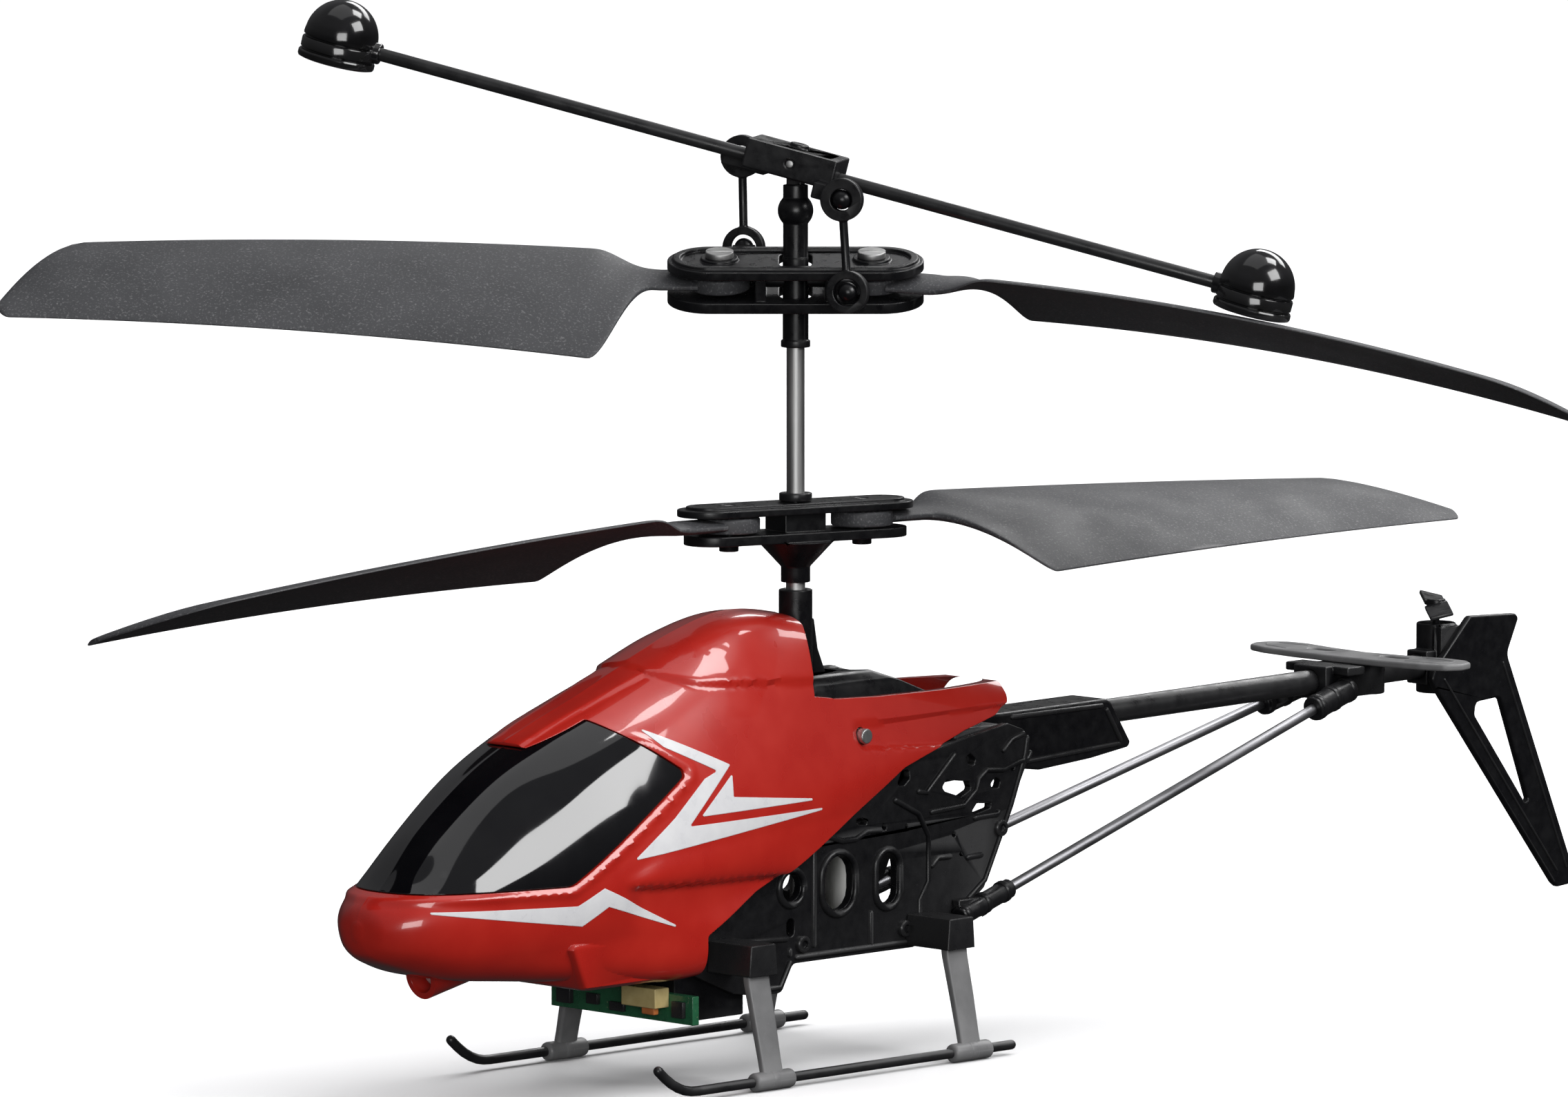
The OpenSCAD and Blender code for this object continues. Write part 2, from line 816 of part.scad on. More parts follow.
module mast_head() {
    color(black)
        difference() {
            union() {
                translate([0, 0, 80])
                    cylinder(d = 2.9, h = 10);
                translate([0, 0, 80])
                    cylinder(d = 3.3, h = 0.8);
                translate([0, 0, 90])
                    cylinder(d = 2.8, h = 8.2);
                translate([0, 0, 95.3])
                    sphere(d = 4);
                // trunnions that carry the blade grip
                translate([0, 0, upper_z])
                    rotate([0, 0, upper_az])
                        rotate([0, 90, 0])
                            cylinder(r = 0.8, h = 9.2, center = true);
                // lug between the flybar block's cheeks
                translate([0, 0, flybar_z])
                    rotate([0, 0, upper_az - flybar_lead]) {
                        rotate([90, 0, 0])
                            cylinder(r = 0.85, h = 2, center = true);
                        translate([-0.85, -1, -3])
                            cube([1.7, 2, 3]);
                    }
            }
            translate([0, 0, 70])
                cylinder(d = shaft_d, h = 21.75);
            translate([0, 0, flybar_z])
                rotate([0, 0, upper_az - flybar_lead])
                    rotate([90, 0, 0])
                        cylinder(r = 0.5, h = 4, center = true);
        }
}

module grip_plate(z0, z1) {
    round_plate(grip_l, grip_w, z0, z1);
}

module mast_slot() {
    rotate([0, 0, 90])
        round_plate(6.2, 3.6, -10, 10);
}

// ball on a stud that stands out along -Y
module ball_stud(root_y, y) {
    rotate([90, 0, 0])
        translate([0, 0, -root_y])
            cylinder(d = 1, h = root_y - y);
    translate([0, y, 0])
        sphere(r = ball_r);
}

module grip_arm() {
    translate([ball_x - 1.3, -6.8, ball_up - 0.9])
        cube([2.6, 3.4, 1.8]);
    translate([ball_x, 0, ball_up])
        ball_stud(-6.7, -ball_y);
}

module upper_grip_base() {
    color(black)
        at_upper()
            difference() {
                union() {
                    grip_plate(-grip_h, -grip_gap);
                    // cross walls that ride on the trunnions
                    for (side = [-1, 1])
                        translate([side * 3.9 - 0.6, -4.2, -grip_gap])
                            cube([1.2, 8.4, 2 * grip_gap]);
                    for (turn = [0, 180])
                        rotate([0, 0, turn]) {
                            grip_arm();
                            // side wall that joins the arm to the plates
                            translate([ball_x - 1.8, -4.7, -grip_gap])
                                cube([0.6, 1.5, 2 * grip_gap]);
                        }
                    for (side = [-1, 1])
                        translate([side * hinge_r, 0, -grip_h - 0.8])
                            cylinder(d = 2.6, h = 0.9);
                }
                mast_slot();
                rotate([0, 90, 0])
                    cylinder(r = 0.8 + run_gap, h = 10, center = true);
                for (side = [-1, 1])
                    translate([side * hinge_r, 0, -10])
                        cylinder(r = screw_r, h = 20);
                // room for the top plate
                translate([0, 0, grip_gap])
                    round_plate(grip_l + 2, grip_w + 0.2, 0, 3);
            }
}

module upper_grip_cap() {
    color(black)
        at_upper()
            difference() {
                union() {
                    grip_plate(grip_gap, grip_h - 0.2);
                    // raised rim and screw bosses
                    difference() {
                        round_plate(grip_l - 1.2, grip_w - 1.2, grip_h - 0.2, grip_h + 0.15);
                        round_plate(grip_l - 3, grip_w - 3, 0, 5);
                    }
                    for (side = [-1, 1])
                        translate([side * hinge_r, 0, grip_h - 0.2])
                            cylinder(d = 4.2, h = 0.35);
                }
                mast_slot();
                for (side = [-1, 1])
                    translate([side * hinge_r, 0, -10])
                        cylinder(r = screw_r, h = 20);
            }
}

module upper_screws() {
    color("gray")
        at_upper()
            hinge_screws(-grip_h - 0.7, grip_h + 0.15, 3.2);
}

// the upper rotor turns the other way, so its blades are mirror images
module upper_blade(turn, fold, extra, droop, bend) {
    color(charcoal)
        at_upper()
            rotate([0, 0, turn])
                translate([hinge_r, 0, 0])
                    rotate([0, 0, fold])
                        mirror([0, 1, 0])
                            blade(upper_pitch + extra, 0.5, droop, bend);
}

module upper_blade_a() {
    upper_blade(0, upper_fold, upper_extra, 0, 8.8);
}

module upper_blade_b() {
    upper_blade(180, 0, 0, -4, 4.2);
}

// ---------------------------------------------------------------- flybar

// how far the rods sit below the flybar's pivot
rod_drop = 0.6;
block_l = 10.6;
block_w = 6.6;
block_h = 3.3;
cheek_y = 1.1;

module flybar_arm() {
    translate([3.6, -5.6, ball_down - 0.9])
        cube([5.2, 3.2, 1.8]);
    translate([4, -3.3, -block_h / 2])
        cube([1.3, 1.4, block_h / 2 + 0.4]);
    translate([fly_ball[0], 0, ball_down])
        ball_stud(-5.5, fly_ball[1]);
}

module flybar_block() {
    color(black)
        at_flybar()
            difference() {
                union() {
                    translate([-block_l / 2, -block_w / 2, -block_h / 2])
                        cube([block_l, block_w, block_h]);
                    for (turn = [0, 180])
                        rotate([0, 0, turn])
                            flybar_arm();
                    // boss over the pivot
                    translate([0, 0, block_h / 2])
                        cylinder(d = 2.2, h = 0.5);
                }
                // two windows
                for (side = [-1, 1])
                    translate([side * 2.85 - 1.25, -2.2, -5])
                        cube([2.5, 4.4, 10]);
                // slot for the mast head's lug, under a bridge
                translate([-2, -cheek_y, -5])
                    cube([4, 2 * cheek_y, 5.95]);
                rotate([90, 0, 0])
                    cylinder(r = 0.45, h = 20, center = true);
                translate([0, 0, -rod_drop])
                    rotate([0, 90, 0])
                        cylinder(d = 1.5, h = 30, center = true);
            }
}

module flybar_pin() {
    color("silver")
        at_flybar()
            rotate([90, 0, 0])
                cylinder(r = 0.45, h = block_w - 0.2, center = true);
}

module flybar_rod() {
    inner_end = 4.15;
    color(black)
        at_flybar()
            for (side = [-1, 1])
                translate([0, 0, -rod_drop])
                    rotate([0, side * 90, 0])
                        translate([0, 0, inner_end])
                            cylinder(d = 1.5, h = flybar_r - inner_end);
}

// low cylinder with a foot flange, two grooves and a domed top
module weight() {
    r = weight_d / 2;
    difference() {
        rotate_extrude()
            polygon(concat(
                [[0, -2.3], [r - 0.3, -2.3], [r, -2], [r, -1.5], [r - 0.25, -1.3], [r - 0.1, -1.1],
                 [r - 0.1, 0], [r - 0.35, 0.2], [r - 0.12, 0.4], [r - 0.12, 0.7]],
                [for (a = [10:10:90]) [(r - 0.2) * cos(a), 0.7 + (r - 0.2) * sin(a) * 1.02]]));
        rotate([0, 90, 0])
            cylinder(d = 1.5, h = r * 4, center = true);
    }
}

module flybar_weights() {
    color(black)
        at_flybar()
            for (side = [-1, 1])
                translate([side * flybar_r, 0, -rod_drop])
                    difference() {
                        union() {
                            weight();
                            rotate([0, -side * 90, 0])
                                cylinder(d = 2.4, h = weight_d / 2 + 0.5);
                        }
                        rotate([0, 90, 0])
                            cylinder(d = 1.5, h = weight_d * 2, center = true);
                    }
}

// ball centres at rest, in the frame that turns with the mast
function upper_ball(s) =
    rz(ry([s * fly_ball[0], s * fly_ball[1], ball_down], flybar_rest), -flybar_lead)
        + [0, 0, flybar_z];
function lower_ball(s) =
    rx([s * ball_x, -s * ball_y, ball_up], grip_rest) + [0, 0, upper_z];

module link_disc(p, r) {
    translate(p)
        rotate([0, 0, -flybar_lead])
            rotate([90, 0, 0])
                cylinder(r = r, h = eye_thick, center = true);
}

module link_hole(p, r) {
    translate(p)
        rotate([0, 0, -flybar_lead])
            rotate([90, 0, 0])
                cylinder(r = r, h = 3 * eye_thick, center = true);
}

module link(s) {
    a = upper_ball(s);
    b = lower_ball(s);
    along = (b - a) / norm(b - a);
    color(black)
        rotate([0, 0, upper_az])
            difference() {
                union() {
                    link_disc(a, eye_d / 2);
                    link_disc(b, eye_d / 2);
                    bar(a + along * 1.6, b - along * 1.9, link_rod_d);
                }
                link_hole(a, ball_r + 0.1);
                link_hole(b, ball_r + 0.4);
            }
}

module link_near() {
    link(1);
}

module link_far() {
    link(-1);
}

// ---------------------------------------------------------------- tail

function boom_at(y) = [0, y, boom_z0 + (y - boom_y0) * boom_slope];

module boom_socket() {
    color(black)
        difference() {
            union() {
                side_plate([[18, 31], [18, 37.2], [30, 36.5], [47.6, 36.7], [48.4, 36.2], [51.6, 31.4],
                            [51.2, 30.8], [45, 30], [36.6, 29.4], [32, 30]], -3, 3);
                translate([-plate_half, 18, 31.6])
                    cube([2 * plate_half, 8, 4.4]);
            }
            bar(boom_at(boom_y0), boom_at(60), boom_d);
            translate([-2, 17, 32])
                cube([4, 6, 4]);
        }
}

module tail_boom() {
    color([0.09, 0.09, 0.1])
        bar(boom_at(boom_y0), boom_at(tail_y - 2.2), boom_d);
}

clamp_half = 2.6;
rod_front = [9.2, 20, 15.95];
rod_rear = [4, 83, 33.3];
function flip(p) = [-p[0], p[1], p[2]];

module support_rod_left() {
    color([0.6, 0.61, 0.63])
        bar(rod_front, rod_rear, rod_d);
}

module support_rod_right() {
    color([0.6, 0.61, 0.63])
        bar(flip(rod_front), flip(rod_rear), rod_d);
}

module rod_clip_pair(p, q) {
    difference() {
        bar(p, q, 2.3);
        bar(rod_front, rod_rear, rod_d);
    }
}

module rod_clips() {
    along = (rod_rear - rod_front) / norm(rod_rear - rod_front);
    color(black)
        for (side = [1, -1])
            scale_x(side) {
                difference() {
                    union() {
                        bar(rod_front - along * 3.6, rod_front + along * 5.6, 2.3);
                        // foot on the side frame
                        translate([frame_half, 16.4, 14.8])
                            cube([1.2, 4.2, 2.2]);
                    }
                    bar(rod_front, rod_rear, rod_d);
                    translate([0, 10, 10])
                        cube([frame_half, 30, 12]);
                }
                difference() {
                    bar(rod_rear - along * 2, rod_rear + along * 5, 2.9);
                    bar(rod_front, rod_rear, rod_d);
                    // the stabiliser clamp's side face
                    translate([-10 + clamp_half, 80, 30])
                        cube([10, 20, 12]);
                }
            }
}

// left-right copy: side 1 keeps the shape, -1 mirrors it
module scale_x(side) {
    if (side > 0)
        children();
    else
        mirror([1, 0, 0])
            children();
}

module stabiliser() {
    color([0.2, 0.2, 0.21])
        difference() {
            for (side = [1, -1])
                scale_x(side)
                    translate([0, 0, stab_z])
                        linear_extrude(0.9)
                            polygon([[0, 89.4], [7, 89.6], [12.6, 90.4], [stab_half - 1.1, 91.6],
                                     [stab_half, 93.4], [stab_half - 0.6, 95.4],
                                     [stab_half - 2.4, 96.7], [11, 96.9], [6, 95.8], [0, 95]]);
            for (side = [-1, 1])
                translate([side * 5.8 - 2, 92.6, 30])
                    cube([4, 1.5, 12]);
        }
}

module stabiliser_clamp() {
    color(black)
        difference() {
            union() {
                translate([-clamp_half, 85, 33.4])
                    cube([2 * clamp_half, 10, stab_z - 33.4]);
                translate([0, 95.4, 33.2])
                    cylinder(d = 3.6, h = stab_z - 33.2);
                translate([-5, 86.2, 36.3])
                    cube([10, 3, stab_z - 36.3]);
            }
            bar(boom_at(80), boom_at(100), boom_d);
        }
}

fin_x = 2.4;

module tail_fin() {
    color(black)
        difference() {
            side_plate([[103.2, 35.6], [109.4, 41.5], [117.6, 41.2], [118.1, 40.6], [116.1, 36.5],
                        [128.7, 8.6], [128.1, 7.8], [125.4, 7.6], [124.6, 8.2], [103.4, 33.4],
                        [102.8, 34.4]], fin_x, fin_x + 1);
            side_plate([[110.6, 31.1], [114.9, 31.4], [120, 18.8], [119.6, 18.2], [110.4, 29.6]],
                       fin_x - 1, fin_x + 2);
        }
}

module tail_motor_tube() {
    color(black)
        difference() {
            union() {
                translate([0, tail_y, 32.4])
                    cylinder(d = 4.7, h = 8.3);
                translate([0.4, tail_y - 1.7, 33])
                    cube([2, 3.4, 7.4]);
                translate([-1.6, tail_y - 3.4, 33.6])
                    cube([3.2, 3, 4]);
            }
            translate([0, tail_y, 33.2])
                cylinder(d = 4, h = 12);
            bar(boom_at(95), boom_at(tail_y - 2.2), boom_d);
        }
}

module tail_motor() {
    color([0.8, 0.8, 0.82])
        translate([0, tail_y, 33.2])
            cylinder(d = 4, h = 6.2);
}

// two pitched blades on a hub, with the motor's shaft
module tail_rotor() {
    color(black)
        translate([0, tail_y, 42.7])
            rotate([0, 0, upper_az - 90]) {
                translate([0, 0, -1.1])
                    cylinder(d = 2.2, h = 1.9);
                translate([0, 0, -3.2])
                    cylinder(d = 0.8, h = 3);
                for (turn = [0, 180])
                    rotate([0, 0, turn])
                        rotate([14, 0, 0])
                            translate([0, -1.4, -0.25])
                                cube([tail_rotor_r, 2.8, 0.5]);
            }
}

module tail_wire() {
    color([0.5, 0.05, 0.05])
        bar([-1.9, 96, 35.9], [-1.9, tail_y - 3.6, 35.9], 0.5);
}

// ---------------------------------------------------------------- landing gear

module leg_mounts() {
    color(black)
        for (y = [front_leg_y, rear_leg_y])
            for (side = [1, -1])
                scale_x(side)
                    difference() {
                        side_plate([[y - 2.2, 12.5], [y + 2.2, 12.5], [y + 1.9, 16], [y - 1.9, 16]],
                                   frame_half, 15.3);
                        translate([13.4, y - leg_w / 2, 12])
                            cube([1.2, leg_w, 3]);
                    }
}

module leg(y, side) {
    scale_x(side)
        difference() {
            union() {
                translate([0, y + leg_w / 2, 0])
                    rotate([90, 0, 0])
                        linear_extrude(leg_w)
                            polygon([[13.4, 15], [14.6, 15], [14.6, 12.5],
                                     [17.1, 2], [15.9, 2], [13.4, 12.4]]);
                translate([skid_half - 1.1, y - 3, 0])
                    cube([2.2, 6, 2.1]);
            }
            translate([skid_half, y - 5, skid_z])
                rotate([-90, 0, 0])
                    cylinder(d = skid_d, h = 10);
        }
}

module front_legs() {
    color([0.3, 0.3, 0.31])
        for (side = [1, -1])
            leg(front_leg_y, side);
}

module rear_legs() {
    color([0.3, 0.3, 0.31])
        for (side = [1, -1])
            leg(rear_leg_y, side);
}

module skid(x) {
    bend = [[x, 18.6, skid_z], [x, -32.4, skid_z], [x, -34.2, skid_z + 0.35], [x, -36, skid_z + 1.3],
            [x, -37.8, skid_z + 3]];
    for (i = [0:3])
        bar(bend[i], bend[i + 1], skid_d);
    // rounded bends and tip, a little fuller than the tube
    for (i = [1:4])
        translate(bend[i])
            sphere(d = skid_d + 0.08);
}

module skid_left() {
    color(black)
        skid(skid_half);
}

module skid_right() {
    color(black)
        skid(-skid_half);
}

// ---------------------------------------------------------------- output

from_belly() canopy_shell();
from_belly() cockpit_window();
from_belly() nose_lamp();
from_belly() deck_cover();
from_belly() canopy_screws();
from_belly() frame_left();
from_belly() frame_right();
from_belly() motor_plate();
from_belly() gearbox_plate();
from_belly() belly_tray();
from_belly() battery();
from_belly() circuit_board();
from_belly() switch_housing();
from_belly() switch_slider();
from_belly() front_motor();
from_belly() rear_motor();
from_belly() front_pinion();
from_belly() rear_pinion();
from_belly() inner_gear();
from_belly() outer_gear();
from_belly() lower_bush();
from_belly() mast_tower();
from_belly() outer_shaft();
from_belly() lower_hub_base();
from_belly() lower_hub_cap();
from_belly() lower_screws();
from_belly() lower_blade_a();
from_belly() lower_blade_b();
from_belly() inner_shaft();
from_belly() shaft_collar();
from_belly() mast_head();
from_belly() upper_grip_base();
from_belly() upper_grip_cap();
from_belly() upper_screws();
from_belly() upper_blade_a();
from_belly() upper_blade_b();
from_belly() flybar_block();
from_belly() flybar_pin();
from_belly() flybar_rod();
from_belly() flybar_weights();
from_belly() link_near();
from_belly() link_far();
from_belly() boom_socket();
from_belly() tail_boom();
from_belly() support_rod_left();
from_belly() support_rod_right();
from_belly() rod_clips();
from_belly() stabiliser();
from_belly() stabiliser_clamp();
from_belly() tail_fin();
from_belly() tail_motor_tube();
from_belly() tail_motor();
from_belly() tail_rotor();
from_belly() tail_wire();
from_belly() leg_mounts();
from_belly() front_legs();
from_belly() rear_legs();
from_belly() skid_left();
from_belly() skid_right();
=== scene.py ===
"""Looks of a small coaxial remote control helicopter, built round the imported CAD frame.

Helpers work in millimetres, with heights above the ground: the mast axis is Z, the nose points
along -Y and the left side is +X. Meshes are written to Blender in metres, in the CAD's frame.
"""
import json
import math

import bmesh
import bpy
import numpy as np
from mathutils import Matrix, Vector
from mathutils.geometry import tessellate_polygon


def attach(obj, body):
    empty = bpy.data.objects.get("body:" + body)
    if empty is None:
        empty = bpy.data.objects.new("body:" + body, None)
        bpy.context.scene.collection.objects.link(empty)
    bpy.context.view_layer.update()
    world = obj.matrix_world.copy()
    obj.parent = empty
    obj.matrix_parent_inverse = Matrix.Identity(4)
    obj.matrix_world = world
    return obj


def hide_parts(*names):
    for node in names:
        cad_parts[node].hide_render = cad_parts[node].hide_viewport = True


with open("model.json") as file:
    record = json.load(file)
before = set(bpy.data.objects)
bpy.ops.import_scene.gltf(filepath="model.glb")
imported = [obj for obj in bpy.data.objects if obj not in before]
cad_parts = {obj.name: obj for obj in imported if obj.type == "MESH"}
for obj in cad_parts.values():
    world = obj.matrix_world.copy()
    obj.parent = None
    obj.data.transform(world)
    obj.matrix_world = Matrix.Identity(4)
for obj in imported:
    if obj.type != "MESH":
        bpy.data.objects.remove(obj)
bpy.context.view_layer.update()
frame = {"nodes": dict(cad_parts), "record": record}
MM = 0.001
BELLY = 12.1  # the belly underside, where the frame has its origin, above the ground

# ------------------------------------------------------------------ shapes


class Shape:
    """Vertices in millimetres above the ground and the faces on them."""

    def __init__(self, points, faces):
        self.points = np.array(points, float).reshape(-1, 3)
        self.faces = [list(f) for f in faces]

    def __add__(self, other):
        n = len(self.points)
        return Shape(
            np.vstack([self.points, other.points]),
            self.faces + [[i + n for i in f] for f in other.faces],
        )

    def at(self, matrix):
        """The same shape moved by a 4x4 matrix whose translation is in millimetres."""
        m = np.array(matrix)
        moved = Shape(self.points @ m[:3, :3].T + m[:3, 3], self.faces)
        if np.linalg.det(m[:3, :3]) < 0:
            moved.faces = [f[::-1] for f in moved.faces]
        return moved

    def move(self, x=0, y=0, z=0):
        return self.at(Matrix.Translation((x, y, z)))

    def turn(self, axis, degrees):
        return self.at(Matrix.Rotation(math.radians(degrees), 4, axis))

    def flip_x(self):
        return self.at(Matrix.Scale(-1, 4, (1, 0, 0)))

    def both_sides(self):
        return self + self.flip_x()


def total(shapes):
    shapes = list(shapes)
    out = shapes[0]
    for s in shapes[1:]:
        out = out + s
    return out


def loft(rings, caps=True, closed=False):
    """Skin over rings of equal length. The rings run along the skin; closed joins the last to the first."""
    rings = np.array(rings, float)
    m, n = rings.shape[:2]
    faces = []
    for i in range(m if closed else m - 1):
        k = (i + 1) % m
        faces += [[i * n + j, i * n + (j + 1) % n, k * n + (j + 1) % n, k * n + j] for j in range(n)]
    if caps and not closed:
        faces += [list(range(n))[::-1], [(m - 1) * n + j for j in range(n)]]
    return Shape(rings.reshape(-1, 3), faces)


def lathe(profile, count=48):
    """Turned solid about Z: profile holds (radius, height), from the foot up."""
    rings = []
    for r, z in profile:
        a = np.linspace(0, 2 * math.pi, count, endpoint=False)
        r = max(r, 1e-4)
        rings.append(np.stack([r * np.cos(a), r * np.sin(a), np.full(count, z)], 1))
    return loft(rings)


def rounded_rod(length, radius, edge=0.15, count=40, bore=0.0):
    """Round bar from z = 0 up, its end edges rounded; a bore makes it a tube."""
    arc = [math.radians(a) for a in (0, 30, 60, 90)]
    foot = [(radius - edge + edge * math.sin(a), edge - edge * math.cos(a)) for a in arc]
    top = [(r, length - z) for r, z in foot[::-1]]
    if bore <= 0:
        return lathe([(0, 0)] + foot + top + [(0, length)], count)
    ring = foot + top + [(bore, length), (bore, 0)]
    a = np.linspace(0, 2 * math.pi, count, endpoint=False)
    rings = [[(r * math.cos(t), r * math.sin(t), z) for r, z in ring] for t in a]
    return loft([r[::-1] for r in rings], closed=True)


def frames_along(path):
    """Tangent and two normals at each point of a path, turning as little as possible."""
    path = np.array(path, float)
    tangent = np.gradient(path, axis=0)
    tangent /= np.linalg.norm(tangent, axis=1)[:, None]
    up = np.array([0.0, 0.0, 1.0])
    if abs(tangent[0] @ up) > 0.9:
        up = np.array([1.0, 0.0, 0.0])
    out = []
    for t in tangent:
        side = np.cross(t, up)
        side /= np.linalg.norm(side)
        up = np.cross(side, t)
        out.append((t, side, up))
    return path, out


def tube(path, radius, count=20, round_ends=True):
    """Round bar along a path; radius is one number or one per point."""
    path, axes = frames_along(path)
    radius = np.broadcast_to(np.array(radius, float), (len(path),))
    a = np.linspace(0, 2 * math.pi, count, endpoint=False)
    rings = []

    def ring(i, r, shift):
        t, side, up = axes[i]
        return path[i] + t * shift + np.outer(np.cos(a) * r, side) + np.outer(np.sin(a) * r, up)

    ends = [math.radians(d) for d in (85, 65, 45, 22)] if round_ends else []
    rings += [ring(0, radius[0] * math.cos(d), radius[0] * (1 - math.sin(d))) for d in ends]
    start = 1 if round_ends else 0
    stop = len(path) - 1 if round_ends else len(path)
    if round_ends:
        rings.append(ring(0, radius[0], radius[0]))
    rings += [ring(i, radius[i], 0) for i in range(start, stop)]
    if round_ends:
        rings.append(ring(len(path) - 1, radius[-1], -radius[-1]))
        last, r = len(path) - 1, radius[-1]
        rings += [ring(last, r * math.cos(d), -r * (1 - math.sin(d))) for d in ends[::-1]]
    return loft([r[::-1] for r in rings])


def straight(a, b, radius, count=20, edge=0.12):
    """Round bar between two points with small rounded edges."""
    a, b = Vector(a), Vector(b)
    turn = (b - a).to_track_quat("Z", "Y").to_matrix().to_4x4()
    return rounded_rod((b - a).length, radius, edge, count).at(Matrix.Translation(a) @ turn)


def block(lo, hi):
    """Box between two corners."""
    x0, y0, z0 = lo
    x1, y1, z1 = hi
    points = [(x, y, z) for z in (z0, z1) for x, y in ((x0, y0), (x1, y0), (x1, y1), (x0, y1))]
    return Shape(points, [[3, 2, 1, 0], [4, 5, 6, 7], [0, 1, 5, 4], [1, 2, 6, 5], [2, 3, 7, 6], [3, 0, 4, 7]])


def arc(cx, cy, r, start, end, count=10):
    turns = [math.radians(a) for a in np.linspace(start, end, count)]
    return [(cx + r * math.cos(a), cy + r * math.sin(a)) for a in turns]


def slot(cx, cy, length, width, degrees=0, count=9):
    """Outline of a slot with round ends."""
    h, r = (length - width) / 2, width / 2
    pts = arc(h, 0, r, -90, 90, count) + arc(-h, 0, r, 90, 270, count)
    c, s = math.cos(math.radians(degrees)), math.sin(math.radians(degrees))
    return [(cx + x * c - y * s, cy + x * s + y * c) for x, y in pts]


def round_corners(points, radius, count=5):
    """Outline whose corners are arcs; radius is one number or one per corner."""
    n = len(points)
    radii = radius if isinstance(radius, (list, tuple)) else [radius] * n
    out = []
    for i, r in enumerate(radii):
        p = np.array(points[i], float)
        a = np.array(points[i - 1], float) - p
        b = np.array(points[(i + 1) % n], float) - p
        la, lb = np.linalg.norm(a), np.linalg.norm(b)
        a, b = a / la, b / lb
        half = math.acos(max(-1, min(1, a @ b))) / 2
        if r <= 0 or half > 1.5:
            out.append(tuple(p))
            continue
        cut = min(r / math.tan(half), la * 0.45, lb * 0.45)
        r = cut * math.tan(half)
        middle = (a + b) / np.linalg.norm(a + b)
        centre = p + middle * (r / math.sin(half))
        u = p + a * cut - centre
        v = p + b * cut - centre
        for t in np.linspace(0, 1, count):
            w = u * (1 - t) + v * t
            out.append(tuple(centre + w / np.linalg.norm(w) * r))
    return out


def plate(outline, holes, z0, z1):
    """Flat plate in the XY plane with holes."""
    loops = [outline] + list(holes)
    flat = [p for loop in loops for p in loop]
    tris = tessellate_polygon([[Vector((p[0], p[1], 0)) for p in loop] for loop in loops])
    n = len(flat)
    points = [(x, y, z0) for x, y in flat] + [(x, y, z1) for x, y in flat]
    faces = []
    for t in tris:
        (ax, ay), (bx, by), (cx, cy) = (flat[i] for i in t)
        area = (bx - ax) * (cy - ay) - (by - ay) * (cx - ax)
        if abs(area) < 1e-9:
            continue
        up = list(t) if area > 0 else list(t)[::-1]
        faces += [[i + n for i in up], up[::-1]]
    first = 0
    for number, loop in enumerate(loops):
        m = len(loop)
        area = sum(loop[i - 1][0] * loop[i][1] - loop[i][0] * loop[i - 1][1] for i in range(m))
        outward = (area > 0) == (number == 0)
        for i in range(m):
            a, b = first + i, first + (i + 1) % m
            quad = [a, b, b + n, a + n]
            faces.append(quad if outward else quad[::-1])
        first += m
    return Shape(points, faces)


SIDEWAYS = Matrix(((0, 0, 1, 0), (1, 0, 0, 0), (0, 1, 0, 0), (0, 0, 0, 1)))


def side_plate(outline, holes, x0, x1):
    """Plate whose outline is given in the Y-Z plane, from x0 to x1."""
    return plate(outline, holes, x0, x1).at(SIDEWAYS)


# ------------------------------------------------------------------ Blender objects


def mesh_object(name, shape, merge=True):
    mesh = bpy.data.meshes.new(name)
    mesh.from_pydata(((shape.points - np.array([0, 0, BELLY])) * MM).tolist(), [], shape.faces)
    if merge:
        bm = bmesh.new()
        bm.from_mesh(mesh)
        bmesh.ops.remove_doubles(bm, verts=bm.verts, dist=0.002 * MM)
        bmesh.ops.recalc_face_normals(bm, faces=bm.faces)
        bm.to_mesh(mesh)
        bm.free()
    obj = bpy.data.objects.new(name, mesh)
    bpy.context.scene.collection.objects.link(obj)
    return obj


def apply_modifiers(obj):
    graph = bpy.context.evaluated_depsgraph_get()
    mesh = bpy.data.meshes.new_from_object(obj.evaluated_get(graph))
    obj.modifiers.clear()
    obj.data = mesh
    return obj


def cut(obj, tool_shape, operation="DIFFERENCE"):
    """Boolean of obj with a shape or an object; the tool is thrown away."""
    tool = tool_shape if isinstance(tool_shape, bpy.types.Object) else mesh_object("tool", tool_shape)
    mod = obj.modifiers.new("cut", "BOOLEAN")
    mod.object = tool
    mod.operation = operation
    mod.solver = "MANIFOLD"
    apply_modifiers(obj)
    bpy.data.objects.remove(tool)
    return obj


def smooth(obj, degrees=30):
    for p in obj.data.polygons:
        p.use_smooth = True
    obj.data.set_sharp_from_angle(angle=math.radians(degrees))


def dissolve_flat(obj):
    bm = bmesh.new()
    bm.from_mesh(obj.data)
    bmesh.ops.dissolve_limit(bm, angle_limit=math.radians(0.6), verts=bm.verts, edges=bm.edges)
    bm.to_mesh(obj.data)
    bm.free()


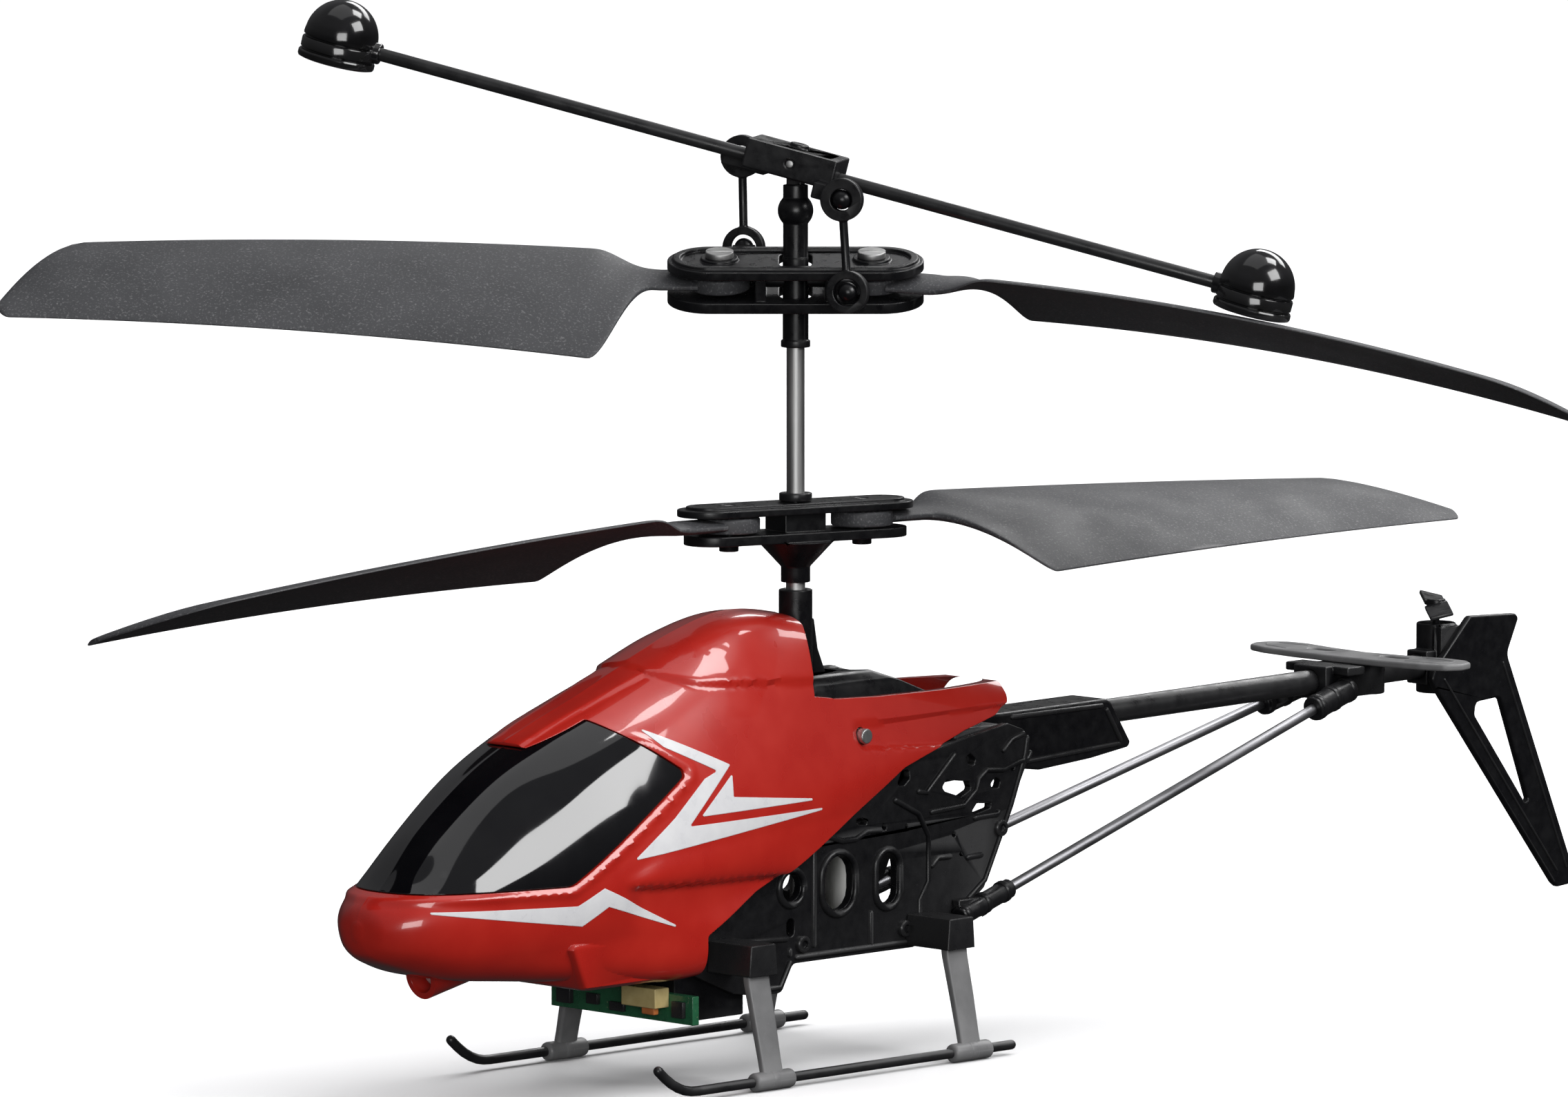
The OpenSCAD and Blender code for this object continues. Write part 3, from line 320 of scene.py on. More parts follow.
def finish_piece(obj, body, material, nodes=(), slot_name=None, bevel=0.0, segments=2, angle=32):
    """Bevels and shades a piece, gives it its material and ties it to its body."""
    for p in obj.data.polygons:
        p.use_smooth = True
    if bevel > 0:
        dissolve_flat(obj)
        for p in obj.data.polygons:
            p.use_smooth = True
        mod = obj.modifiers.new("bevel", "BEVEL")
        mod.width = bevel * MM
        mod.segments = segments
        mod.limit_method = "ANGLE"
        mod.angle_limit = math.radians(angle)
        mod.use_clamp_overlap = False
        mod.miter_outer = "MITER_ARC"
        normals = obj.modifiers.new("normals", "WEIGHTED_NORMAL")
        normals.keep_sharp = True
        apply_modifiers(obj)
    else:
        obj.data.set_sharp_from_angle(angle=math.radians(angle))
    obj.data.materials.clear()
    obj.data.materials.append(material)
    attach(obj, body)
    if nodes:
        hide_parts(*nodes)
    return obj


def piece(name, shape, body, material, *nodes, **options):
    return finish_piece(mesh_object(name, shape), body, material, nodes, **options)


def body_of(node):
    return next(b for b, names in frame["record"]["behaviour"]["bodies"].items() if node in names)


def refined(node, material, bevel=0.12, **options):
    """Finer copy of a CAD node: flat faces joined up and every edge rounded."""
    source = frame["nodes"][node]
    mesh = source.data.copy()
    mesh.transform(source.matrix_world)
    obj = bpy.data.objects.new(node + "_moulding", mesh)
    bpy.context.scene.collection.objects.link(obj)
    bm = bmesh.new()
    bm.from_mesh(mesh)
    bmesh.ops.remove_doubles(bm, verts=bm.verts, dist=0.001 * MM)
    bm.to_mesh(mesh)
    bm.free()
    if mesh.has_custom_normals:
        mesh.attributes.remove(mesh.attributes["custom_normal"])
    return finish_piece(obj, body_of(node), material, (node,), bevel=bevel, **options)


# ------------------------------------------------------------------ materials


def node_tools(name):
    mat = bpy.data.materials.new(name)
    mat.use_nodes = True
    tree = mat.node_tree
    shader = next(n for n in tree.nodes if n.type == "BSDF_PRINCIPLED")

    def new(kind, **inputs):
        node = tree.nodes.new(kind)
        for key, value in inputs.items():
            if key in node.inputs:
                node.inputs[key].default_value = value
            else:
                setattr(node, key, value)
        return node

    def link(a, b):
        tree.links.new(a, b)

    return mat, shader, new, link


def surface(name, color, second=None, patch=900.0, speck=None, speck_size=4200.0, speck_amount=0.3,
            rough=0.4, rough_spread=0.12, grain=7000.0, bump=0.08, coat=0.0, coat_rough=0.03,
            metal=0.0, edge=0.35, edge_radius=0.12, stretch=(1, 1, 1), specular=0.5, peel=0.0):
    """Moulded plastic, paint or metal, all from noise in object space (metres).

    color to second is a slow blotchy change, speck adds fine lighter dots, rough_spread and grain
    vary the roughness and the fine bump, edge lightens sharp edges as a painted highlight, peel is a slow
    orange-peel bump.
    """
    mat, shader, new, link = node_tools(name)
    second = second or [c * 0.8 for c in color]
    coord = new("ShaderNodeTexCoord")
    place = new("ShaderNodeMapping")
    place.inputs["Scale"].default_value = stretch
    link(coord.outputs["Object"], place.inputs["Vector"])
    blotch = new("ShaderNodeTexNoise", Scale=patch, Detail=3.0, Roughness=0.55)
    link(place.outputs[0], blotch.inputs["Vector"])
    ramp = new("ShaderNodeValToRGB")
    ramp.color_ramp.elements[0].position = 0.3
    ramp.color_ramp.elements[1].position = 0.7
    ramp.color_ramp.elements[0].color = (*second, 1)
    ramp.color_ramp.elements[1].color = (*color, 1)
    link(blotch.outputs["Fac"], ramp.inputs["Fac"])
    tint = ramp.outputs["Color"]
    if speck:
        dots = new("ShaderNodeTexNoise", Scale=speck_size, Detail=2.0, Roughness=0.6)
        link(place.outputs[0], dots.inputs["Vector"])
        level = new("ShaderNodeMapRange", clamp=True)
        level.inputs["From Min"].default_value = 0.72 - speck_amount * 0.3
        level.inputs["From Max"].default_value = 0.8
        link(dots.outputs["Fac"], level.inputs["Value"])
        mix = new("ShaderNodeMix", data_type="RGBA")
        link(level.outputs[0], mix.inputs[0])
        link(tint, mix.inputs[6])
        mix.inputs[7].default_value = (*speck, 1)
        tint = mix.outputs[2]
    # painted highlight: the colour of sharp edges, found from the mesh's pointiness, is lightened by edge
    if edge > 0:
        shape = new("ShaderNodeNewGeometry")
        painted_edge_highlight = new("ShaderNodeMapRange", clamp=True)
        painted_edge_highlight.inputs["From Min"].default_value = 0.53
        painted_edge_highlight.inputs["From Max"].default_value = 0.66
        painted_edge_highlight.inputs["To Max"].default_value = edge
        link(shape.outputs["Pointiness"], painted_edge_highlight.inputs["Value"])
        light = new("ShaderNodeMix", data_type="RGBA", blend_type="ADD")
        link(painted_edge_highlight.outputs[0], light.inputs[0])
        link(tint, light.inputs[6])
        light.inputs[7].default_value = (0.16, 0.16, 0.16, 1)
        tint = light.outputs[2]
    link(tint, shader.inputs["Base Color"])
    fine = new("ShaderNodeTexNoise", Scale=grain, Detail=4.0, Roughness=0.6)
    link(place.outputs[0], fine.inputs["Vector"])
    gloss = new("ShaderNodeMapRange", clamp=True)
    gloss.inputs["From Min"].default_value = 0.3
    gloss.inputs["From Max"].default_value = 0.7
    gloss.inputs["To Min"].default_value = max(rough - rough_spread, 0.02)
    gloss.inputs["To Max"].default_value = min(rough + rough_spread, 1)
    link(blotch.outputs["Fac"], gloss.inputs["Value"])
    link(gloss.outputs[0], shader.inputs["Roughness"])
    round_edge = new("ShaderNodeBevel")
    round_edge.samples = 4
    round_edge.inputs["Radius"].default_value = edge_radius * MM
    relief = new("ShaderNodeBump")
    relief.inputs["Strength"].default_value = bump
    relief.inputs["Distance"].default_value = 0.02 * MM
    link(fine.outputs["Fac"], relief.inputs["Height"])
    link(round_edge.outputs[0], relief.inputs["Normal"])
    out = relief.outputs[0]
    if peel > 0:
        wave = new("ShaderNodeTexNoise", Scale=420.0, Detail=1.0)
        link(place.outputs[0], wave.inputs["Vector"])
        slow = new("ShaderNodeBump")
        slow.inputs["Strength"].default_value = peel
        slow.inputs["Distance"].default_value = 0.05 * MM
        link(wave.outputs["Fac"], slow.inputs["Height"])
        link(round_edge.outputs[0], slow.inputs["Normal"])
        link(slow.outputs[0], shader.inputs["Coat Normal"])
        link(slow.outputs[0], relief.inputs["Normal"])
    link(out, shader.inputs["Normal"])
    shader.inputs["Metallic"].default_value = metal
    shader.inputs["Coat Weight"].default_value = coat
    shader.inputs["Coat Roughness"].default_value = coat_rough
    shader.inputs["Specular IOR Level"].default_value = specular
    return mat


RED = surface("red_gloss_paint", (0.56, 0.022, 0.012), (0.5, 0.016, 0.01), patch=160, rough=0.3,
              rough_spread=0.05, grain=9000, bump=0.02, coat=1.0, coat_rough=0.03, edge=0, peel=0.05)
WINDOW = surface("black_window_gloss", (0.004, 0.004, 0.005), (0.002, 0.002, 0.003), patch=200, rough=0.06,
                 rough_spread=0.02, bump=0.01, coat=1.0, coat_rough=0.02, edge=0.05, peel=0.03)
# painted highlight: near-white film laid on the red skin where the glossy red shows highlights
HIGHLIGHT_PAINT = surface("painted_highlight_white", (0.86, 0.86, 0.87), (0.8, 0.8, 0.82), patch=600, rough=0.35, bump=0.03,
                coat=0.6, coat_rough=0.05, edge=0.0)
LENS = surface("lamp_lens", (0.8, 0.82, 0.8), (0.6, 0.62, 0.6), rough=0.1, bump=0.03, coat=1.0)
BLACK = surface("black_moulded_plastic", (0.007, 0.007, 0.008), (0.005, 0.005, 0.006), patch=700,
                speck=(0.03, 0.03, 0.033), speck_amount=0.12, rough=0.32, rough_spread=0.1, grain=5200,
                bump=0.2, edge=0.3, specular=0.4)
GLOSSY_BLACK = surface("black_gloss_plastic", (0.006, 0.006, 0.007), (0.004, 0.004, 0.004), patch=500,
                       rough=0.14, rough_spread=0.05, grain=3000, bump=0.04, coat=0.7, coat_rough=0.05,
                       edge=0.25)
BLADE = surface("charcoal_blade_plastic", (0.062, 0.063, 0.068), (0.045, 0.046, 0.05), patch=120,
                speck=(0.2, 0.2, 0.205), speck_size=3600, speck_amount=0.55, rough=0.58, rough_spread=0.08,
                grain=4200, bump=0.45, edge=0.5)
GREY = surface("grey_flexible_plastic", (0.23, 0.23, 0.232), (0.17, 0.17, 0.173), patch=260,
               speck=(0.24, 0.24, 0.24), speck_amount=0.25, rough=0.38, rough_spread=0.1, grain=5200,
               bump=0.25, edge=0.4)
SKID = surface("satin_black_tube", (0.02, 0.02, 0.021), (0.013, 0.013, 0.014), patch=420, rough=0.34,
               grain=4200, bump=0.2, edge=0.3)
STEEL = surface("drawn_steel", (0.62, 0.62, 0.61), (0.46, 0.46, 0.46), patch=900, rough=0.47,
                rough_spread=0.1, grain=5000, bump=0.2, metal=1.0, edge=0.2, stretch=(1, 1, 0.06))
ALU = surface("satin_aluminium_rod", (0.5, 0.5, 0.52), (0.38, 0.38, 0.4), patch=800, rough=0.42,
              rough_spread=0.08, grain=5000, bump=0.12, metal=1.0, edge=0.2, stretch=(1, 0.08, 0.4))
CAN = surface("nickel_motor_can", (0.86, 0.86, 0.84), (0.68, 0.68, 0.65), patch=420, rough=0.5,
              rough_spread=0.1, grain=2600, bump=0.1, metal=1.0, edge=0.2, stretch=(1, 1, 0.25))
BRASS = surface("turned_brass", (0.62, 0.42, 0.15), (0.46, 0.3, 0.1), patch=900, rough=0.3, metal=1.0,
                bump=0.15)
GEAR = surface("natural_acetal", (0.72, 0.7, 0.62), (0.62, 0.6, 0.52), rough=0.45, bump=0.12, edge=0.2)
BOARD = surface("green_solder_mask", (0.01, 0.13, 0.05), (0.008, 0.09, 0.035), patch=900, rough=0.3, coat=0.4,
                speck=(0.3, 0.32, 0.2), speck_size=2400, speck_amount=0.12, edge=0.2)
CREAM = surface("cream_nylon", (0.62, 0.5, 0.22), (0.52, 0.4, 0.16), rough=0.5, bump=0.2, edge=0.25)
ORANGE = surface("orange_knob_plastic", (0.66, 0.2, 0.04), (0.5, 0.14, 0.03), rough=0.45, bump=0.15,
                 edge=0.25)
FOIL = surface("cell_foil_wrap", (0.35, 0.37, 0.4), (0.26, 0.28, 0.3), patch=300, rough=0.3, metal=0.8,
               bump=0.6, grain=900)
WIRE = surface("red_wire_insulation", (0.4, 0.015, 0.015), rough=0.45, bump=0.2, grain=3000, edge=0.15)

# ------------------------------------------------------------------ canopy

RIBS = [
    (-67.0, [(0, 21.6), (0.5, 21.4), (0.8, 21), (0.9, 20.4), (0.7, 19.8), (0.4, 19.5), (0, 19.4)]),
    (-66.2, [(0, 23.3), (1.7, 23.0), (3.1, 22.1), (3.7, 20.7), (3.1, 18.9), (1.7, 17.9), (0, 17.7)]),
    (-63.4, [(0, 25.1), (2.8, 24.8), (5.5, 23.6), (6.6, 21.4), (5.8, 18.3), (3.4, 16.6), (0, 16.3)]),
    (-58, [(0, 30.8), (4.0, 29.7), (7.8, 25.6), (9.0, 21.7), (8.2, 17.4), (5.2, 15), (0, 14.7)]),
    (-50, [(0, 36.5), (4.8, 35.4), (9.6, 28.8), (11.1, 22.7), (10.3, 17.6), (7.3, 14.3), (0, 13.7)]),
    (-42, [(0, 40.3), (5.2, 39.4), (10.2, 33.6), (12.6, 24.8), (11.9, 18.2), (9.6, 13.8), (0, 13)]),
    (-34, [(0, 43.3), (5.2, 42.4), (10, 37.2), (12.9, 27.2), (12.3, 19.2), (10.6, 13), (0, 12.4)]),
    (-27, [(0, 46.1), (5, 44.9), (9.7, 39.8), (12.7, 29), (12.2, 20), (10.8, 12.8), (0, 12.2)]),
    (-19, [(0, 49.1), (4.8, 47.9), (9.2, 42.4), (12.3, 30.8), (11.9, 22), (10.8, 14), (0, 13)]),
    (-11, [(0, 50.8), (4.5, 49.5), (8.6, 43.4), (11.8, 32), (11.5, 24), (10.6, 17), (0, 16)]),
    (-2, [(0, 49.7), (4.2, 48.6), (7.8, 43), (11, 33), (10.8, 27), (10, 21), (0, 20)]),
    (9, [(0, 46.6), (4, 45.6), (7, 41.6), (9.8, 34.4), (9.4, 30), (8.6, 26), (0, 25)]),
    (20, [(0, 43.6), (3.8, 42.8), (6.2, 40.2), (8.2, 36), (7.8, 33), (6.8, 30), (0, 29)]),
    (30, [(0, 41.2), (3.2, 40.6), (5, 39.2), (6, 37.2), (5.8, 35.4), (5, 33), (0, 32)]),
]
LAST_RIB = len(RIBS) - 1


def spline(values, where, axis=0):
    """Catmull-Rom through values spaced one apart along an axis."""
    values = np.moveaxis(np.array(values, float), axis, 0)
    where = np.array(where, float)
    top = len(values) - 1
    i = np.floor(np.minimum(where, top - 1e-6)).astype(int)
    t = (where - i).reshape((-1,) + (1,) * (values.ndim - 1))
    p0, p1, p2, p3 = (values[np.clip(i + k, 0, top)] for k in (-1, 0, 1, 2))
    out = 0.5 * (2 * p1 + (p2 - p0) * t + (2 * p0 - 5 * p1 + 4 * p2 - p3) * t**2
                 + (3 * p1 - p0 - 3 * p2 + p3) * t**3)
    return np.moveaxis(out, 0, axis)


def smoothstep(x):
    x = np.clip(x, 0, 1)
    return x * x * (3 - 2 * x)


# the windscreen's edge in the Y-Z plane, run out past the nose
WINDOW_OUTLINE = [(-75, 24.5), (-45.9, 24.5), (-27.8, 35.4), (-37.1, 41.6), (-45.0, 38.85), (-45.3, 50),
                  (-75, 50)]


def window_outline(grow):
    """WINDOW_OUTLINE with rounded corners, made larger all round by grow."""
    g = grow
    points = [(-75, 24.5 - g), (-45.9 + g * 0.28, 24.5 - g), (-27.8 + g * 1.87, 35.4),
              (-37.1 + g * 0.14, 41.6 + g * 1.1),
              (-45 + g, 38.85 + g * 1.4), (-45.3 + g, 50), (-75, 50)]
    return round_corners(points, [0, 2.6, 0.7, 0.5, 0.2, 0, 0], 6)


def outside_of(outline, y, z):
    """Distance outside a closed outline, negative inside, for arrays of points."""
    pts = np.array(outline)
    a, b = pts, np.roll(pts, -1, 0)
    best = np.full(y.shape, 1e9)
    inside = np.zeros(y.shape, bool)
    for (ay, az), (by, bz) in zip(a, b):
        dy, dz = by - ay, bz - az
        t = np.clip(((y - ay) * dy + (z - az) * dz) / max(dy * dy + dz * dz, 1e-9), 0, 1)
        best = np.minimum(best, np.hypot(y - ay - t * dy, z - az - t * dz))
        if az != bz:
            crosses = ((az > z) != (bz > z)) & (y < (by - ay) * (z - az) / (bz - az) + ay)
            inside ^= crosses
    return np.where(inside, -best, best)


def canopy_relief(p):
    """How far the moulded skin stands out of the smooth form at points p."""
    x, y, z = np.abs(p[..., 0]), p[..., 1], p[..., 2]
    out = np.zeros(x.shape)
    # raised roof behind its step
    edge = np.interp(y, [-27.4, -26.9, -22.9, -4.9, 0], [47.0, 45.6, 44.4, 43.5, 43.4])
    roof = smoothstep((z - edge) / 0.4 + 0.5) * smoothstep((y + 27.2 + 0.3 * x) / 0.9)
    out += 0.5 * roof
    # centre strip of the roof
    crease = np.interp(y, [-45, -37, -27], [2.6, 3.0, 3.6])
    strip = smoothstep((crease - x) / 0.5 + 0.5) * smoothstep((y + 46) / 1.5) * smoothstep((-26.6 - y) / 0.6)
    out += 0.28 * strip * (z > 30)
    # bead round the windscreen
    d = outside_of(WINDOW_OUTLINE, y, z)
    bead = np.exp(-(((d - 0.6) / 0.42) ** 2)) * smoothstep((40.2 - z) / 1.5) * smoothstep((y + 66.6) / 1.5)
    out += 0.3 * bead * (d > -0.4)
    # scoop: a bulge over a fold with a hollow under it
    fold = np.interp(y, [-39.6, -38.6, -33.3, -16.9, -4], [24.6, 23.9, 23.5, 23.0, 22.6])
    upper = np.interp(y, [-39.4, -33.3, -5.2, 6], [24.7, 27.1, 28.4, 28.9])
    start = smoothstep((y + 39.4) / 4.0)
    under = fold - z
    out -= 0.8 * start * smoothstep(under / 0.35) * (1 - smoothstep((under - 0.3) / 5.0)) * (z < 30)
    t = np.clip((z - fold) / np.maximum(upper - fold, 0.3), 0, 1)
    out += 0.38 * start * np.sin(math.pi * t**0.6) * (t > 0) * (t < 1)
    # channel of the canopy screw
    high = np.interp(y, [-1, 1.1, 27], [38.3, 38.3, 38.05])
    low = np.interp(y, [-1, 0.2, 16.3, 20.9, 28], [35.6, 35.6, 34.6, 34.9, 35.6])
    centre, half = (high + low) / 2, (high - low) / 2
    gap = np.where(y > 1.2, half - np.abs(z - centre), 1.35 - np.hypot(y - 1.2, z - 36.95))
    out -= 0.42 * smoothstep(gap / 0.35 + 0.5) * (z > 33)
    return out


def canopy_form(t=0.0, along=250, across=110, relief=False, lift=0.0, start=0.0, tail=False):
    """The canopy's outer form, its wall moved in by t."""
    u = np.linspace(start, LAST_RIB, along)
    y = spline([r[0] for r in RIBS], u)
    half = spline([r[1] for r in RIBS], u)
    left = spline(half, np.linspace(0, 6, across + 1), axis=1)
    middle = (left[:, :1, 1] + left[:, -1:, 1]) / 2
    width = left[:, :, 0].max(1)[:, None]
    height = (left[:, :1, 1] - left[:, -1:, 1]) / 2
    x = left[:, :, 0] * np.maximum(1 - t / width, 0.1)
    z = middle + (left[:, :, 1] - middle) * np.maximum(1 - t / height, 0.1)
    x = np.concatenate([x, -x[:, -2:0:-1]], 1)
    z = np.concatenate([z, z[:, -2:0:-1]], 1)
    rings = np.stack([x, np.broadcast_to(y[:, None], x.shape), z], 2)
    if relief or lift:
        du = np.gradient(rings, axis=0)
        dv = np.roll(rings, -1, 1) - np.roll(rings, 1, 1)
        normal = np.cross(du, dv)
        normal /= np.maximum(np.linalg.norm(normal, axis=2), 1e-9)[..., None]
        outward = rings[..., [0, 2]] - np.stack([np.zeros_like(middle[:, 0]), middle[:, 0]], 1)[:, None, :]
        sign = np.sign((normal[..., [0, 2]] * outward).sum(2))
        normal *= np.where(sign == 0, 1, sign)[..., None]
        amount = (canopy_relief(rings) if relief else 0) + lift
        rings = rings + normal * np.asarray(amount)[..., None] * np.ones_like(rings)
        rings[..., 1] = np.maximum(rings[..., 1], -67.1)
    if start == 0 and t == 0:
        heart = rings[0].mean(0)
        tip = [heart + (rings[0] - heart) * s - np.array([0, d, 0]) for s, d in ((0.5, 0.07), (0.05, 0.09))]
        rings = np.concatenate([np.array(tip[::-1]), rings])
    if tail:
        rings = np.concatenate([rings, rings[-1:] + np.array([0, 4.0, 0])])
    return loft(rings)


LAMP_TILT = Matrix.Rotation(math.radians(-78), 4, "X")


def wide(outline):
    """Outline in the Y-Z plane, run right across the body."""
    return side_plate(outline, [], -20, 20)


def chin_block():
    """Box under the canopy's cheeks, in front of the legs."""
    rings = []
    for z, x, y0, y1 in ((12.6, 10.2, -42.6, -25.6), (13.0, 10.8, -43.4, -25.4), (17.5, 11.85, -46.1, -25.4),
                         (18.0, 11.7, -46.0, -25.5), (18.15, 11.3, -45.6, -25.8)):
        outline = round_corners([(-x, y0), (x, y0), (x, y1), (-x, y1)], 0.9, 5)
        rings.append([(px, py, z) for px, py in outline])
    return loft(rings)


def lamp_bore(diameter, extra):
    """Round bar along the nose lamp's axis, started extra mm further out."""
    place = Matrix.Translation((0, -57.6 - extra, 14.4 - extra * 0.2)) @ LAMP_TILT
    return lathe([(diameter / 2, 0), (diameter / 2, 9 + extra * 2)], 40).at(place)


BELOW_EDGE = round_corners(
    [(-25.2, 0), (-25.6, 17.2), (-17.2, 21.3), (-12.4, 23), (-3.8, 27.3), (7.2, 32.9), (19, 35.9), (25.5, 37),
     (28.4, 38.4), (28.2, 40.6), (26.5, 52), (45, 52), (45, 0)],
    [0, 0.6, 3, 3, 4, 4, 4, 3, 1.6, 1.5, 0, 0, 0], 5)
DECK = [(-3.3, 60), (-3.3, 42), (-2.6, 41.3), (5, 40.9), (16, 40.6), (40, 40.4), (40, 60)]

shell = mesh_object("canopy_skin", canopy_form(relief=True))
cut(shell, chin_block(), "UNION")
cut(shell, lamp_bore(4.6, 0), "UNION")
hollow = mesh_object("hollow", canopy_form(0.9, 90, 30, start=0.45, tail=True))
cut(hollow, lamp_bore(4.6, 0))
cut(shell, hollow)
cut(shell, block((-9.6, -41, 11), (9.6, -11, 19)))
cut(shell, lamp_bore(3.2, 1))
cut(shell, wide(window_outline(0)))
cut(shell, wide(BELOW_EDGE))
cut(shell, wide(DECK))
for side in (-1, 1):
    cut(shell, wide([(-0.8, 60), (-0.8, 41.8), (3, 41.2), (3, 60)]).turn("Z", side * -28.5))
    cut(shell, rounded_rod(6, 0.95, 0.01).turn("Y", 90).move(5.5 if side > 0 else -11.5, 1.2, 36.9))
finish_piece(shell, "chassis", RED, ("canopy_shell",), angle=38)

window = mesh_object("windscreen", canopy_form(0.12))
cut(window, canopy_form(0.9, 90, 30, start=0.45, tail=True))
cut(window, wide(window_outline(-0.12)), "INTERSECT")
finish_piece(window, "chassis", WINDOW, ("cockpit_window",), angle=40)

# painted highlights: white shapes on the canopy skin below the windscreen, behind it and over the scoop,
# where the glossy red shows highlights
PAINTED_HIGHLIGHT_SHAPES = {
    "painted_highlight_low": [(-64.5, 22.9), (-45.4, 22.4), (-41.9, 24.1), (-29.0, 18.2), (-41.3, 22.0), (-44.7, 20.1)],
    "painted_highlight_high": [(-32.6, 40.6), (-21.4, 35.8), (-28.9, 29.7), (-4.9, 29.8), (-33.3, 27.1), (-37.5, 26.75),
                   (-30.9, 30.8), (-25.6, 34.6), (-23.5, 35.3), (-30.4, 38.4)],
    "painted_highlight_dart": [(-21.35, 34.8), (-21.65, 32.3), (-7.05, 30.8), (-26.95, 30.6)],
}
for name, outline in PAINTED_HIGHLIGHT_SHAPES.items():
    highlight_patch = mesh_object(name, wide(round_corners(outline, 0.12, 3)))
    cut(highlight_patch, canopy_form(relief=True, lift=0.035), "INTERSECT")
    cut(highlight_patch, canopy_form(relief=True, lift=-0.12))
    finish_piece(highlight_patch, "chassis", HIGHLIGHT_PAINT, ("canopy_shell",), slot_name="lamp", angle=40)

lens = lathe([(0, 0), (0.7, 0.12), (1.25, 0.45), (1.5, 1.0), (1.5, 6.0), (0, 6.0)], 40)
piece("lamp_lens", lens.at(Matrix.Translation((0, -56.4, 14.64)) @ LAMP_TILT), "chassis", LENS, "nose_lamp",
      angle=40)

# ------------------------------------------------------------------ frame

FRAME_EDGE = [(-14, 9), (-10.6, 9), (-8.8, 12.1), (10.4, 12.1), (12.2, 13.2), (13.4, 12.9), (15, 13.4),
              (21.7, 17.8), (26, 26.5), (28.8, 31.7), (28.4, 35.2), (25.5, 36.2), (19, 35.2), (12, 33.9),
              (7, 35.4), (2.6, 37.6), (-6, 37.8), (-12, 33), (-24, 24), (-25, 12.6), (-18, 9.6)]
OVALS = [(-1.7, 20.5, 6.1, 4.5, 90), (6.1, 20.3, 5.7, 3, 90), (-9.1, 20.7, 3.1, 3, 90.1),
         (-9.2, 16.2, 2, 1.2, 90)]
HOLES = [
    [(14.9, 29.8), (15.4, 29.3), (17.9, 28.5), (19.6, 29.2), (19.2, 30.1), (15.6, 30.6)],
    [(18.5, 32.8), (19.0, 32.2), (20.0, 31.8), (20.3, 32.6), (19.4, 33.3)],
    [(25.8, 31.4), (25.9, 30.8), (26.5, 30.8), (26.8, 31.7)],
    [(22.7, 29.5), (23.0, 29.0), (24.0, 29.0), (24.3, 29.8), (23.5, 30.2)],
    [(19.5, 26.4), (20.5, 26.4), (22.6, 26.8), (22.9, 27.3), (20.5, 27.5)],
    [(7.6, 30.6), (8.8, 30.6), (9.7, 31.3), (9.6, 32.4), (8.4, 32.2)],
    [(0.9, 27.3), (1.6, 26.8), (2.7, 26.7), (3.1, 27.1), (1.8, 27.5)],
    [(5.3, 25.8), (6.0, 25.8), (6.0, 26.5), (5.3, 26.5)],
    [(9.0, 25.5), (9.4, 25.5), (9.4, 26.1), (9.0, 26.1)],
    [(16.5, 24.0), (17.1, 24.0), (17.1, 24.6), (16.5, 24.6)],
    [(17.5, 22.0), (18.1, 21.8), (18.1, 22.2)],
]
FRAME_RIBS = [
    [(29.2, 32.8), (28.6, 31.9), (27.1, 31.7), (24.7, 31.0), (22.0, 31.2), (20.7, 30.3), (20.3, 29.0),
     (18.3, 27.5), (12.8, 27.2)],
    [(28.2, 34.9), (26, 34.3), (24.5, 33)],
    [(19.8, 25.9), (23.7, 26), (24.1, 26.5)],
    [(-3.6, 26), (-1.1, 25.2), (1, 25.2), (2.7, 25.9), (5.2, 25.9)],
    [(13, 20.9), (14.1, 21.9), (16.4, 21.9)],
    [(18.6, 21.5), (21.4, 21.6)],
    [(28.6, 34.6), (28.2, 32.4), (25.9, 26.8), (21.7, 18.7), (15.2, 14.2), (13.2, 13.5), (10.6, 12.8),
     (-8.6, 12.8)],
    [(17, 33.6), (12.4, 29.5), (10.7, 29.8)],
    [(-9.4, 12.9), (-9.4, 14.0)],
    [(-16.8, 15.3), (-9.6, 15.0)],
    [(11.2, 13.2), (11.2, 17.4), (12.6, 19.4), (12.6, 24.6), (11.0, 27.2), (7.0, 29.2)],
    [(-5.6, 13.6), (-5.6, 24.6), (-3.6, 26.0)],
    [(3.4, 13.0), (3.4, 17.0)],
    [(-13.6, 9.7), (-10.9, 9.7), (-9.2, 12.6)],
]


def frame_side():
    holes = [[tuple(p) for p in slot(y, z, length, width, angle)] for y, z, length, width, angle in OVALS]
    holes += [round_corners(h, 0.28, 4) for h in HOLES]
    holes.append(arc(1.2, 36.9, 0.5, 0, 345, 24))
    return side_plate(round_corners(FRAME_EDGE, 0.9, 5), holes, 7.4, 8.5)


BOSS = [(0, 0), (0.95, 0), (0.95, 0.42), (0.8, 0.55), (0.45, 0.55), (0.4, 0.3), (0, 0.3)]


def frame_relief():
    """Ribs, window rims and the step moulded on a frame's outer face."""
    parts = []
    for line in FRAME_RIBS:
        parts.append(tube([(8.5, y, z) for y, z in line], 0.34, 12))
    for y, z, length, width, angle in OVALS[:3]:
        rim = slot(y, z, length + 0.9, width + 0.9, angle, 13)
        path = [(8.52, a, b) for a, b in rim + rim[:1]]
        parts.append(tube(path, 0.42, 12, False))
    for y, z in ((-13.2, 33.2), (-2.2, 30.4), (24.2, 24.4), (-18.8, 24.0), (8.8, 14.4), (-7.4, 14.2)):
        parts.append(lathe(BOSS, 24).turn("Y", 90).move(8.45, y, z))
    return total(parts)


